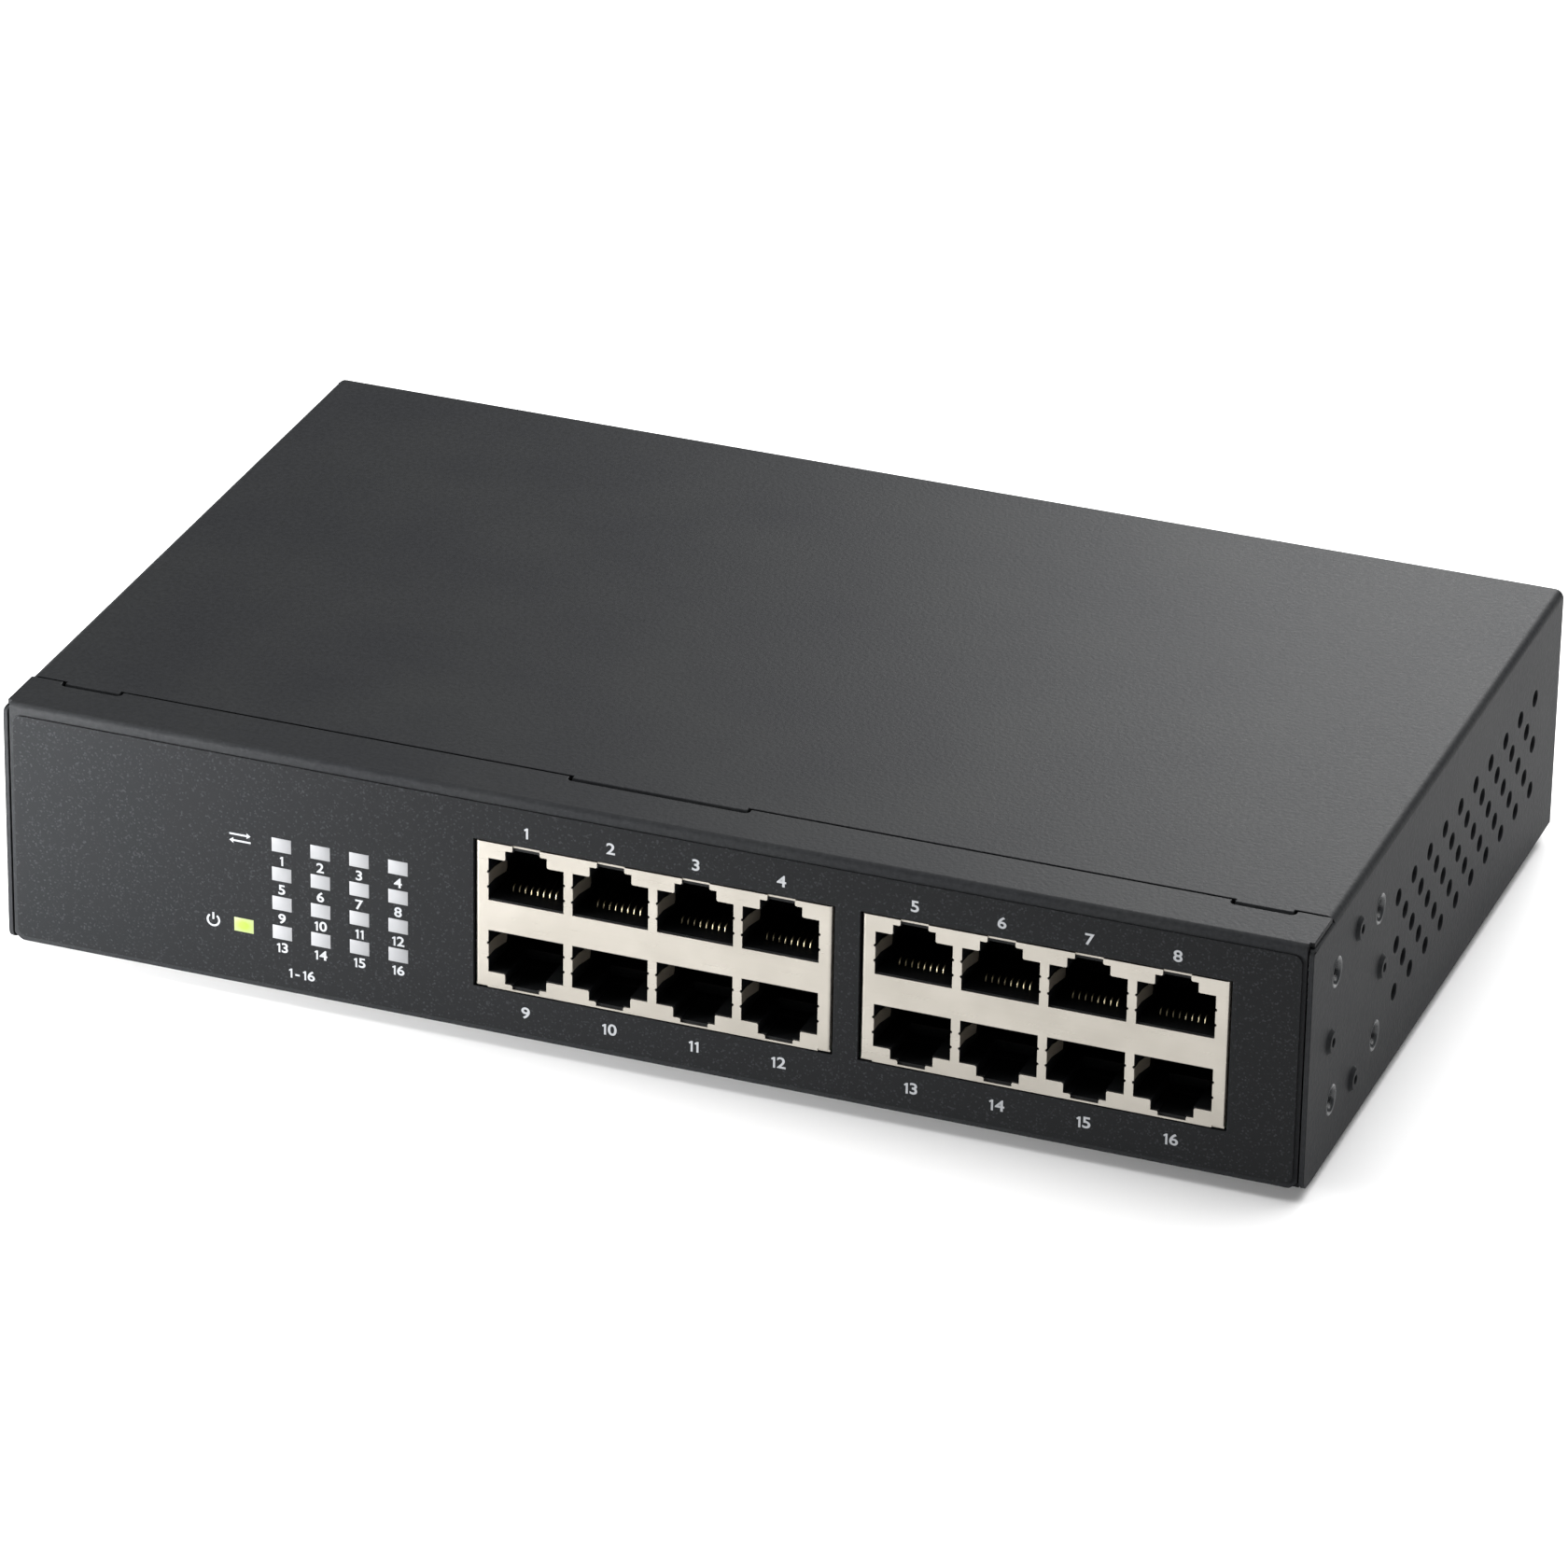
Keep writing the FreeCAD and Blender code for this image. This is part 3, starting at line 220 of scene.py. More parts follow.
def lathe(profile, segments=40):  # (radius, height) points turned round Z, closed where the radius is zero
    build = bmesh.new()
    ring = [build.verts.new((radius, 0, height)) for radius, height in profile]
    for first, second in zip(ring, ring[1:]):
        build.edges.new((first, second))
    bmesh.ops.spin(build, geom=build.verts[:] + build.edges[:], cent=(0, 0, 0), axis=(0, 0, 1),
                   angle=2 * math.pi, steps=segments, use_merge=True)
    bmesh.ops.remove_doubles(build, verts=build.verts, dist=weldDistance)
    bmesh.ops.recalc_face_normals(build, faces=build.faces)
    softenEdges(build)
    mesh = bpy.data.meshes.new("turned")
    build.to_mesh(mesh)
    build.free()
    return mesh


def softenEdges(build):
    for edge in build.edges:
        edge.smooth = len(edge.link_faces) == 2 and edge.calc_face_angle(0) < sharpAngle
    for face in build.faces:
        face.smooth = True


def block(size, radius, centre=(0, 0, 0), segments=2):  # box with rounded edges
    build = bmesh.new()
    bmesh.ops.create_cube(build, size=1)
    bmesh.ops.scale(build, vec=size, verts=build.verts)
    bmesh.ops.bevel(build, geom=build.edges[:], offset=radius, segments=segments, profile=0.5,
                    affect="EDGES")
    bmesh.ops.translate(build, vec=centre, verts=build.verts)
    softenEdges(build)
    mesh = bpy.data.meshes.new("block")
    build.to_mesh(mesh)
    build.free()
    return mesh


def boxOf(nodeName):  # middle and size of a node
    low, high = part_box(nodeName)
    return (low + high) / 2, high - low


def solidMiddles(nodeName):  # middle and size of each separate solid in a node
    build = bmesh.new()
    build.from_mesh(frame["nodes"][nodeName].data)
    bmesh.ops.remove_doubles(build, verts=build.verts, dist=weldDistance)
    found, seen = [], set()
    for start in build.verts:
        if start in seen:
            continue
        island, queue = [], [start]
        seen.add(start)
        while queue:
            vertex = queue.pop()
            island.append(vertex.co.copy())
            for edge in vertex.link_edges:
                other = edge.other_vert(vertex)
                if other not in seen:
                    seen.add(other)
                    queue.append(other)
        low = Vector([min(co[i] for co in island) for i in range(3)])
        high = Vector([max(co[i] for co in island) for i in range(3)])
        found.append(((low + high) / 2, high - low))
    build.free()
    return found


# Materials, each named for what the real surface is.

def depthBehindFace(tree, place, start, end):  # 0 to 1 between two depths behind the label's face
    depth = addNode(tree, "ShaderNodeSeparateXYZ", {"Vector": place}).outputs["Y"]
    return addNode(tree, "ShaderNodeMapRange", {"Value": depth, "From Min": labelFace + start,
                                                "From Max": labelFace + end}).outputs["Result"]


def makePowderCoat():  # polyester powder on steel, cured to a fine semi-matt orange peel
    look = {"dark": "#222325", "light": "#262728", "grain": 0.7 * mm, "mottle": 24 * mm,
            "fleck": 0.14, "glossy": 0.5, "matt": 0.56, "relief": 0.05 * mm}
    material, tree, surface, place = newMaterial("charcoalPowderCoat", IOR=1.5, Specular_IOR_Level=0.06)
    fine = grain(tree, place, look["grain"])
    broad = grain(tree, place, look["mottle"], 2.0)
    tint = between(tree, broad, colour(look["dark"]), colour(look["light"]))
    fleck = between(tree, fine, 1 - look["fleck"], 1 + look["fleck"], 0.32, 0.68)
    mixed = addNode(tree, "ShaderNodeVectorMath", {0: tint, 1: fleck}, operation="MULTIPLY")
    tree.links.new(mixed.outputs["Vector"], surface.inputs["Base Color"])
    tree.links.new(between(tree, fine, look["glossy"], look["matt"]), surface.inputs["Roughness"])
    emboss(tree, surface, fine, look["relief"])
    return material


def makeLabelFilm():  # screen-printed polyester film with metallic flecks, drawn coarser to show
    look = {"base": "#1c1d1e", "fleck": "#2c2d2f", "fleckSize": 0.26 * mm, "fleckFrom": 0.84,
            "matt": 0.5, "fleckGloss": 0.36, "ripple": 0.5 * mm, "relief": 0.01 * mm}
    material, tree, surface, place = newMaterial("sparkleLabelFilm", IOR=1.5, Specular_IOR_Level=0.05)
    cells = addNode(tree, "ShaderNodeTexVoronoi", {"Vector": place, "Scale": 1 / look["fleckSize"]})
    brightness = addNode(tree, "ShaderNodeSeparateColor", {"Color": cells.outputs["Color"]}).outputs["Red"]
    tint = between(tree, brightness, colour(look["base"]), colour(look["fleck"]), look["fleckFrom"], 1.0)
    tree.links.new(tint, surface.inputs["Base Color"])
    gloss = between(tree, brightness, look["matt"], look["fleckGloss"], 0.5, 1.0)
    tree.links.new(gloss, surface.inputs["Roughness"])
    emboss(tree, surface, grain(tree, place, look["ripple"]), look["relief"], 0.5)
    return material


def makeTinPlate():  # steel strip, tin plated and rolled: bright streaks on the face, dull behind it
    look = {"low": "#aaa59c", "high": "#b6b1a8", "dull": "#756e63", "streak": 0.35 * mm, "cloud": 9 * mm,
            "rolled": (0.04, 1, 1), "faceDepth": 0.5 * mm, "dullMetallic": 0.25, "glossy": 0.27, "matt": 0.38,
            "relief": 0.004 * mm}
    material, tree, surface, place = newMaterial("tinPlatedSteel")
    streaks = grain(tree, place, look["streak"], 4.0, look["rolled"])
    clouds = grain(tree, place, look["cloud"], 2.0)
    behind = depthBehindFace(tree, place, look["faceDepth"] / 2, look["faceDepth"])
    bright = between(tree, clouds, colour(look["low"]), colour(look["high"]))
    tint = addNode(tree, "ShaderNodeMix", {"Factor": behind, 6: bright, 7: colour(look["dull"])},
                   data_type="RGBA")
    tree.links.new(tint.outputs[2], surface.inputs["Base Color"])
    shine = between(tree, behind, 1.0, look["dullMetallic"], 0.0, 1.0)
    tree.links.new(shine, surface.inputs["Metallic"])
    tree.links.new(between(tree, streaks, look["glossy"], look["matt"]), surface.inputs["Roughness"])
    emboss(tree, surface, streaks, look["relief"], 0.5)
    return material


def makeMouldedPlastic(name, low, high, roughness, grainSize=0.4 * mm, **constants):
    # a spark-eroded mould leaves a fine even grain that varies the gloss, and the melt's flow varies the tone
    look = {"flow": 12 * mm, "glossier": 0.06, "duller": 0.08, "relief": 0.01 * mm}
    material, tree, surface, place = newMaterial(name, **{"IOR": 1.5, **constants})
    fine = grain(tree, place, grainSize)
    broad = grain(tree, place, look["flow"], 2.0)
    gloss = between(tree, fine, roughness - look["glossier"], roughness + look["duller"])
    tree.links.new(between(tree, broad, colour(low), colour(high)), surface.inputs["Base Color"])
    tree.links.new(gloss, surface.inputs["Roughness"])
    emboss(tree, surface, fine, look["relief"], 0.5)
    return material


def makeMetal(name, low, high, roughness):
    # turned, drawn or plated metal: small differences of tone, and tool marks that vary the gloss
    look = {"mark": 0.3 * mm, "cloud": 5 * mm, "glossier": 0.05, "duller": 0.08, "relief": 0.004 * mm}
    material, tree, surface, place = newMaterial(name, Metallic=1.0)
    marks = grain(tree, place, look["mark"])
    clouds = grain(tree, place, look["cloud"], 2.0)
    gloss = between(tree, marks, roughness - look["glossier"], roughness + look["duller"])
    tree.links.new(between(tree, clouds, colour(low), colour(high)), surface.inputs["Base Color"])
    tree.links.new(gloss, surface.inputs["Roughness"])
    emboss(tree, surface, marks, look["relief"], 0.5)
    return material


def makeContactPlatingAndShade():  # bronze wire, bright with gold flash at the bend; the near-black further into the port is painted shade, not the bronze's own colour
    # "wire" is painted shade: near black for the wire deep in the dark port, reached by depth behind the
    # label
    look = {"flash": "#d2c6a4", "wire": "#2a261f", "start": 3.7 * mm, "end": 4.6 * mm,
            "mark": 0.2 * mm, "glossy": 0.36, "matt": 0.5}
    material, tree, surface, place = newMaterial("goldFlashBronzePaintedShade", Metallic=1.0)
    behind = depthBehindFace(tree, place, look["start"], look["end"])
    tint = between(tree, behind, colour(look["flash"]), colour(look["wire"]), 0.0, 1.0)
    tree.links.new(tint, surface.inputs["Base Color"])
    gloss = between(tree, grain(tree, place, look["mark"]), look["glossy"], look["matt"])
    tree.links.new(gloss, surface.inputs["Roughness"])
    return material


slotMaterials = {
    "case_paint": makePowderCoat(),
    "label_film": makeLabelFilm(),
    "tinned_steel": makeTinPlate(),
    "gold_contact": makeContactPlatingAndShade(),
    # mouldings of the case and the jacks: milky, glassy, or a black that swallows light
    "lamp_window": makeMouldedPlastic("milkyAcrylic", "#78797b", "#828385", 0.35, IOR=1.49),
    "clear_plastic": makeMouldedPlastic("clearPolycarbonate", "#dfe3e4", "#eceff0", 0.2, IOR=1.58,
                                        Transmission_Weight=0.7),
    "black_plastic": makeMouldedPlastic("blackPolyester", "#0d0e0f", "#121314", 0.5,
                                        Specular_IOR_Level=0.12),
    "foot_rubber": makeMouldedPlastic("blackRubber", "#171718", "#202021", 0.75),
    # mouldings, films and ceramics on the boards: soft sheen for nylon and tape, dull for pad and ferrite
    "white_plastic": makeMouldedPlastic("naturalNylon", "#dcd8cb", "#e8e4d8", 0.45),
    "yellow_plastic": makeMouldedPlastic("yellowPolyesterTape", "#cfa52e", "#dbb544", 0.35),
    "circuit_board": makeMouldedPlastic("greenSolderMask", "#164a30", "#1f5e3e", 0.35),
    "insulator_film": makeMouldedPlastic("clearPolyesterSheet", "#dcd9cf", "#ebe8de", 0.3),
    "thermal_pad": makeMouldedPlastic("siliconePad", "#8ea5b6", "#a1b5c4", 0.7),
    "ferrite": makeMouldedPlastic("sinteredFerrite", "#2d2d30", "#3b3b3e", 0.6),
    "capacitor_sleeve": makeMouldedPlastic("blackShrinkSleeve", "#1b1c22", "#26272d", 0.25),
    "wire_sleeve": makeMouldedPlastic("redWireSleeve", "#9c231e", "#b43028", 0.4),
    "fuse_glass": makeMouldedPlastic("fuseGlass", "#dfe5e5", "#eaf0f0", 0.08, Transmission_Weight=0.8),
    # metals: warm nickel and brass, cold zinc and aluminium, grey where anodised
    "plated_brass": makeMetal("nickelPlatedBrass", "#c5bfae", "#d6d0c2", 0.25),
    "brass_standoff": makeMetal("turnedBrass", "#b08d45", "#c7a35a", 0.3),
    "zinc_screw": makeMetal("zincPlatedSteel", "#b5b8bb", "#ced1d3", 0.3),
    "anodised_aluminium": makeMetal("anodisedAluminium", "#4c4f53", "#5e6165", 0.4),
    "bright_can": makeMetal("drawnAluminium", "#bcbfc2", "#d0d3d5", 0.3),
}
slotOf = {entry["node"]: entry["material_slot"] for entry in frame["record"]["subparts"]}
for nodeName, slot in slotOf.items():
    node = frame["nodes"][nodeName]
    node.data.materials.clear()
    node.data.materials.append(slotMaterials[slot])
print("materials made:", len(slotMaterials))


# Copies of sheet-metal and moulded nodes, with whole flats, smooth bends and a small edge radius.

refining = {"flatWithin": math.radians(0.4), "bevelOver": math.radians(40), "bevelSegments": 2}


def refine(nodeName, edgeRadius):
    mesh = frame["nodes"][nodeName].data.copy()
    build = bmesh.new()
    build.from_mesh(mesh)
    bmesh.ops.remove_doubles(build, verts=build.verts, dist=weldDistance)
    bmesh.ops.dissolve_limit(build, angle_limit=refining["flatWithin"], verts=build.verts, edges=build.edges)
    softenEdges(build)
    build.to_mesh(mesh)
    build.free()
    piece = bpy.data.objects.new(nodeName.replace("_", "-"), mesh)
    scene.collection.objects.link(piece)
    if edgeRadius:
        bevel = piece.modifiers.new("edgeRadius", "BEVEL")
        bevel.width = edgeRadius
        bevel.segments = refining["bevelSegments"]
        bevel.limit_method = "ANGLE"
        bevel.angle_limit = refining["bevelOver"]
        bevel.use_clamp_overlap = False
    flats = piece.modifiers.new("flatFaces", "WEIGHTED_NORMAL")  # keeps the flats flat up to their bends
    flats.keep_sharp = True
    piece.data.materials.clear()
    piece.data.materials.append(slotMaterials[slotOf[nodeName]])
    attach(piece, "root")
    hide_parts(nodeName)


edgeRadii = {  # mm, none where the sheet's or wire's own edge is finer than that
    "base_pan": 0.1, "top_cover": 0.1, "front_label": 0.05, "left_jack_shield": 0, "right_jack_shield": 0,
    "ac_inlet": 0.25, "light_guide": 0.12, "main_board": 0.1, "psu_board": 0.1, "led_board": 0.1,
    "chip_heatsink": 0.12, "transistor_heatsink": 0.15, "thermal_pad": 0.1, "psu_insulator": 0.05,
    "transformer_core": 0.5, "supply_sockets": 0.2, "supply_plugs": 0.3, "supply_wires": 0, "led_header": 0.3,
}
for nodeName, radius in edgeRadii.items():
    refine(nodeName, radius * mm)
print("nodes refined:", len(edgeRadii))


# Printing on the label: plain numbers and generic signs, no lettering.

printing = {"inkDepth": 0.02 * mm, "digitShare": 0.69, "heavier": 0.045 * mm, "wider": 1.15, "gap": 0.16}
digitOne = [(0.02, 0), (0.2, 0), (0.2, 1), (0.06, 1), (-0.16, 0.84), (-0.09, 0.71), (0.02, 0.79)]
inkHalf = printing["inkDepth"] / 2


def glyph(sign, height):  # one digit or dash, its left edge at zero
    if sign == "1":
        mesh = flatShape([(x * height, (y - 0.5) * height) for x, y in digitOne])
    else:
        curve = bpy.data.curves.new("sign", "FONT")
        curve.body = sign
        curve.size = height / printing["digitShare"]  # a digit is this share of the font's size
        curve.align_y = "CENTER"
        curve.extrude = inkHalf
        curve.offset = printing["heavier"]
        mesh = flatten(holder(curve))
        mesh.transform(Matrix.Diagonal((printing["wider"], 1, 1, 1)))
    left = min(vertex.co.x for vertex in mesh.vertices)
    mesh.transform(Matrix.Translation((-left, 0, 0)))
    return mesh, max(vertex.co.x for vertex in mesh.vertices)


def printedText(signs, height, x, z):  # signs in a row, centred on x
    gap, reach, placed = printing["gap"] * height, 0.0, []
    for sign in signs:
        mesh, width = glyph(sign, height)
        aside = gap if sign == "-" else 0
        placed.append((mesh, reach + aside))
        reach += width + gap + 2 * aside
    meshes = []
    for mesh, start in placed:
        mesh.transform(Matrix.Translation((start - (reach - gap) / 2, 0, 0)))
        meshes.append(onLabel(mesh, x, z))
    return meshes


def onLabel(mesh, x, z):  # a flat mesh in XY stood up on the label
    mesh.transform(Matrix.Translation((x, labelFace - inkHalf, z)) @ Matrix.Rotation(math.pi / 2, 4, "X"))
    return mesh


def flatShape(outline, half=inkHalf):  # a closed plate with an outline that runs anticlockwise
    count = len(outline)
    vertices = [(x, y, z) for z in (half, -half) for x, y in outline]
    sides = [(k, count + k, count + (k + 1) % count, (k + 1) % count) for k in range(count)]
    return meshOf(vertices, (), [tuple(range(count)), tuple(reversed(range(count, 2 * count)))] + sides)


powerMark = {"radius": 1.15 * mm, "stroke": 0.32 * mm, "halfGap": math.radians(38), "steps": 28,
             "barFrom": 0.1, "barTo": 1.15, "aside": 5.2 * mm}
arrowMark = {"length": 3.6 * mm, "stroke": 0.3 * mm, "headLength": 2.2, "headHalf": 1.6, "rise": 0.55 * mm,
             "aside": 7.0 * mm}


def powerSign():  # open ring with a bar in its gap
    radius, stroke, gap, steps = (powerMark[key] for key in ("radius", "stroke", "halfGap", "steps"))
    turns = [math.pi / 2 + gap + step * (2 * math.pi - 2 * gap) / steps for step in range(steps + 1)]
    ring = [(radius * math.cos(t), radius * math.sin(t)) for t in turns]
    ring += [((radius - stroke) * math.cos(t), (radius - stroke) * math.sin(t)) for t in reversed(turns)]
    half, low, high = stroke / 2, radius * powerMark["barFrom"], radius * powerMark["barTo"]
    return [flatShape(ring), flatShape([(-half, low), (half, low), (half, high), (-half, high)])]


def arrowSign(way):
    stroke = arrowMark["stroke"]
    tip, half = way * arrowMark["length"] / 2, stroke / 2
    neck, wing = tip - way * stroke * arrowMark["headLength"], stroke * arrowMark["headHalf"]
    return flatShape([(-tip, -half), (neck, -half), (neck, -wing), (tip, 0), (neck, wing), (neck, half),
                      (-tip, half)])


ports = {"pitch": 13.97 * mm, "rows": 2, "perBlock": 4, "numberHeight": 1.85 * mm,
         "numberRise": (36.3 * mm, 4.9 * mm)}
lamps = {"across": 4, "down": 4, "numberHeight": 1.6 * mm, "drop": 2.7 * mm, "legendRise": 4.0 * mm,
         "edge": 0.06 * mm}
blockMiddles = [boxOf(f"{side}_jack_shield")[0].x for side in ("left", "right")]
powerMiddle, windowSize = boxOf("power_window")
gridMiddle, gridSize = boxOf("port_windows")
lampStepX = (gridSize.x - windowSize.x) / (lamps["across"] - 1)
lampStepZ = (gridSize.z - windowSize.z) / (lamps["down"] - 1)
lampX = [gridMiddle.x + (k - (lamps["across"] - 1) / 2) * lampStepX for k in range(lamps["across"])]
lampZ = [gridMiddle.z - (k - (lamps["down"] - 1) / 2) * lampStepZ for k in range(lamps["down"])]


def printLabel():
    portNumbers, lampNumbers = [], []
    inRow = ports["perBlock"] * len(blockMiddles)
    for index in range(ports["rows"] * inRow):
        row, column = divmod(index, inRow)
        side, place = divmod(column, ports["perBlock"])
        x = blockMiddles[side] + (place - (ports["perBlock"] - 1) / 2) * ports["pitch"]
        z = caseFloor + ports["numberRise"][row]
        portNumbers += printedText(str(index + 1), ports["numberHeight"], x, z)
    for index in range(lamps["down"] * lamps["across"]):
        row, column = divmod(index, lamps["across"])
        z = lampZ[row] - lamps["drop"]
        lampNumbers += printedText(str(index + 1), lamps["numberHeight"], lampX[column], z)
    signs = [onLabel(mesh, powerMiddle.x - powerMark["aside"], powerMiddle.z) for mesh in powerSign()]
    for way in (1, -1):
        z = lampZ[0] + way * arrowMark["rise"]
        signs.append(onLabel(arrowSign(way), lampX[0] - arrowMark["aside"], z))
    legendX, legendZ = (lampX[0] + lampX[1]) / 2, caseFloor + lamps["legendRise"]
    legend = printedText("1-16", lamps["numberHeight"], legendX, legendZ)
    ink = makeMouldedPlastic("screenPrintInk", "#8e9093", "#999b9e", 0.45)  # thin white ink over dark film
    addPiece("port-numbers", portNumbers, "label_film", material=ink)
    addPiece("lamp-numbers", lampNumbers + legend, "label_film", material=ink)
    addPiece("lamp-signs", signs, "label_film", material=ink)


printLabel()
print("label printed")


# Lamps.

def makeLitAcrylic():  # the power lamp shines yellow-green through milky acrylic, strongest at its middle
    look = {"middle": "#d2ff26", "rim": "#def09a", "brightTo": 0.45, "unlit": "#3c4030"}
    material, tree, surface, place = newMaterial("litMilkyAcrylic", IOR=1.49, Roughness=0.35,
                                                 Emission_Strength=0.85, Base_Color=colour(look["unlit"]))
    scale = (2 / windowSize.x, 0, 2 / windowSize.z)
    centred = addNode(tree, "ShaderNodeVectorMath", {0: place, 1: tuple(powerMiddle)},
                      operation="SUBTRACT")
    spread = addNode(tree, "ShaderNodeVectorMath", {0: centred.outputs["Vector"], 1: scale},
                     operation="MULTIPLY")
    reach = addNode(tree, "ShaderNodeVectorMath", {0: spread.outputs["Vector"]}, operation="LENGTH")
    tint = between(tree, reach.outputs["Value"], colour(look["middle"]), colour(look["rim"]),
                   look["brightTo"], 1.0)
    tree.links.new(tint, surface.inputs["Emission Color"])
    return material


def makeWindows():
    window = block(windowSize, lamps["edge"])
    grid = runTree(rowTree, meshOf([]), Stamp=window, Start=(lampX[0], powerMiddle.y, lampZ[0]),
                   Count=lamps["across"], Step=(lampStepX, 0, 0), Rows=lamps["down"],
                   RowStep=(0, 0, -lampStepZ), Finish=slotMaterials["lamp_window"])
    addPiece("lamp-windows", grid, "lamp_window", "port_windows")
    lit = block(windowSize, lamps["edge"], powerMiddle)
    addPiece("power-lamp-window", lit, "lamp_window", "power_window", material=makeLitAcrylic())


makeWindows()
print("lamps made")


# Spring contacts in the jacks: eight round wires in each port.

contacts = {
    "perPort": 8, "pitch": 1.02 * mm, "wireRadius": 0.115 * mm, "bend": 0.5 * mm, "rowRise": 2.85 * mm,
    "path": [(3.6, 0.05), (3.75, 0.85), (11.0, 2.1), (12.9, 2.1)],  # mm behind the label, off the port's wall
}


def makeContacts(side):
    middle = boxOf(f"{side}_jack_contacts")[0]
    portsHalf = (ports["perBlock"] - 1) * ports["pitch"] / 2
    start = middle.x - portsHalf - (contacts["perPort"] - 1) * contacts["pitch"] / 2
    rows = []
    for row in (1, -1):
        wall = middle.z + row * contacts["rowRise"]
        path = [(0, labelFace + depth * mm, wall + row * rise * mm) for depth, rise in contacts["path"]]
        line = meshOf(path, [(k, k + 1) for k in range(len(path) - 1)])
        wire = runTree(wireTree, line, Radius=contacts["wireRadius"], Bend=contacts["bend"],
                       Finish=slotMaterials["gold_contact"])
        rows.append(runTree(rowTree, meshOf([]), Stamp=wire, Start=(start, 0, 0), Count=contacts["perPort"],
                            Step=(contacts["pitch"], 0, 0), Rows=ports["perBlock"],
                            RowStep=(ports["pitch"], 0, 0), Finish=slotMaterials["gold_contact"]))
    addPiece(f"{side}-contact-wires", rows, "gold_contact", f"{side}_jack_contacts")


for side in ("left", "right"):
    makeContacts(side)
print("contacts made")


# Fasteners and feet.

screwMake = {
    "rim": 0.35, "domeSteps": 7, "pitch": 0.5 * mm, "root": 0.84, "point": 0.7, "pointLength": 0.3 * mm,
    "slotWidth": 0.28, "slotReach": 1.15, "slotTaper": 0.55, "slotDepth": 1.3,
}


def crossScrew(headRadius, headHeight, shankRadius, shankLength):  # pan head up, cross recess, thread down
    rim, pitch, steps = screwMake["rim"], screwMake["pitch"], screwMake["domeSteps"]
    dome = [(headRadius * math.cos(t), headHeight * (rim + (1 - rim) * math.sin(t)))
            for t in [step * math.pi / 2 / steps for step in range(steps + 1)]]
    root, thread = shankRadius * screwMake["root"], []  # M3 coarse thread, drawn as rings
    for turn in range(int(shankLength / pitch)):
        thread += [(shankRadius, -(turn + 0.1) * pitch), (root, -(turn + 0.5) * pitch)]
    end = -shankLength - screwMake["pointLength"]
    profile = [(0, end), (shankRadius * screwMake["point"], end)] + thread[::-1]
    profile += [(shankRadius, 0), (headRadius, 0)] + dome
    profile[-1] = (0, headHeight)
    screw = holder(lathe(profile))
    recess = bmesh.new()
    for across in ((1.0, screwMake["slotWidth"]), (screwMake["slotWidth"], 1.0)):
        made = bmesh.ops.create_cube(recess, size=1)["verts"]
        width, depth = (share * headRadius * screwMake["slotReach"] for share in across)
        for vertex in made:
            taper = 1.0 if vertex.co.z > 0 else screwMake["slotTaper"]
            vertex.co = (vertex.co.x * width * taper, vertex.co.y * depth * taper,
                         headHeight * (1 + vertex.co.z * screwMake["slotDepth"]))
    cutter = bpy.data.meshes.new("recess")
    recess.to_mesh(cutter)
    recess.free()
    tool = holder(cutter)
    cut = screw.modifiers.new("recess", "BOOLEAN")
    cut.object = tool
    cut.solver = "EXACT"
    cut.use_self = True
    mesh = flatten(screw)
    bpy.data.objects.remove(tool)
    return mesh


upright, outwards = (0.0, 0.0, 0.0), (-math.pi / 2, 0.0, 0.0)  # heads at the top, heads at the back
screws = {  # head radius and height, shank radius and length, turn
    "cover_screws": (2.8 * mm, 1.8 * mm, 1.45 * mm, 5.5 * mm, outwards),
    "ground_screw": (3.2 * mm, 1.8 * mm, 1.45 * mm, 5.5 * mm, outwards),
    "board_screws": (2.8 * mm, 2.0 * mm, 1.45 * mm, 5.2 * mm, upright),
}


def makeScrews():
    for node, (headRadius, headHeight, shankRadius, shankLength, turn) in screws.items():
        spots = []
        for middle, size in solidMiddles(node):
            seat = middle.copy()
            if turn is upright:
                seat.z = middle.z + size.z / 2 - headHeight
            else:
                seat.y = middle.y + size.y / 2 - headHeight
            spots.append(seat)
        stamp = crossScrew(headRadius, headHeight, shankRadius, shankLength)
        placed = runTree(spotTree, meshOf(spots), Stamp=stamp, Turn=turn, Finish=slotMaterials["zinc_screw"])
        addPiece(node.replace("_", "-"), placed, "zinc_screw", node)


foot = {  # insets from the top's radius, and heights
    "taper": 0.6 * mm, "rim": 0.3 * mm, "flare": 0.2 * mm, "edge": (0.35 * mm, 0.12 * mm),
    "rounding": 0.35 * mm, "ring": 1.6 * mm, "dishSlope": 0.3 * mm, "dish": (0.25 * mm, 0.4 * mm),
}


def makeFeet():  # moulded rubber bumpers: tapered, soft at the rim, dished underneath
    solids = solidMiddles("rubber_feet")
    size = solids[0][1]
    top, bottom, tall = size.x / 2, size.x / 2 - foot["taper"], size.z
    profile = [(0, tall), (top, tall), (top, tall - foot["rim"]), (bottom + foot["flare"], foot["edge"][0]),
               (bottom, foot["edge"][1]), (bottom - foot["rounding"], 0), (bottom - foot["ring"], 0),
               (bottom - foot["ring"] - foot["dishSlope"], foot["dish"][0]), (0, foot["dish"][1])]
    feet = runTree(spotTree, meshOf([(place.x, place.y, 0) for place, _ in solids]), Stamp=lathe(profile, 48),
                   Turn=(0, 0, 0), Finish=slotMaterials["foot_rubber"])
    addPiece("rubber-feet", feet, "foot_rubber", "rubber_feet")


makeScrews()
makeFeet()
print("fasteners and feet made")


# Rolled rims of the tapped holes and shoulders of the dimples, where the paint has run smooth.

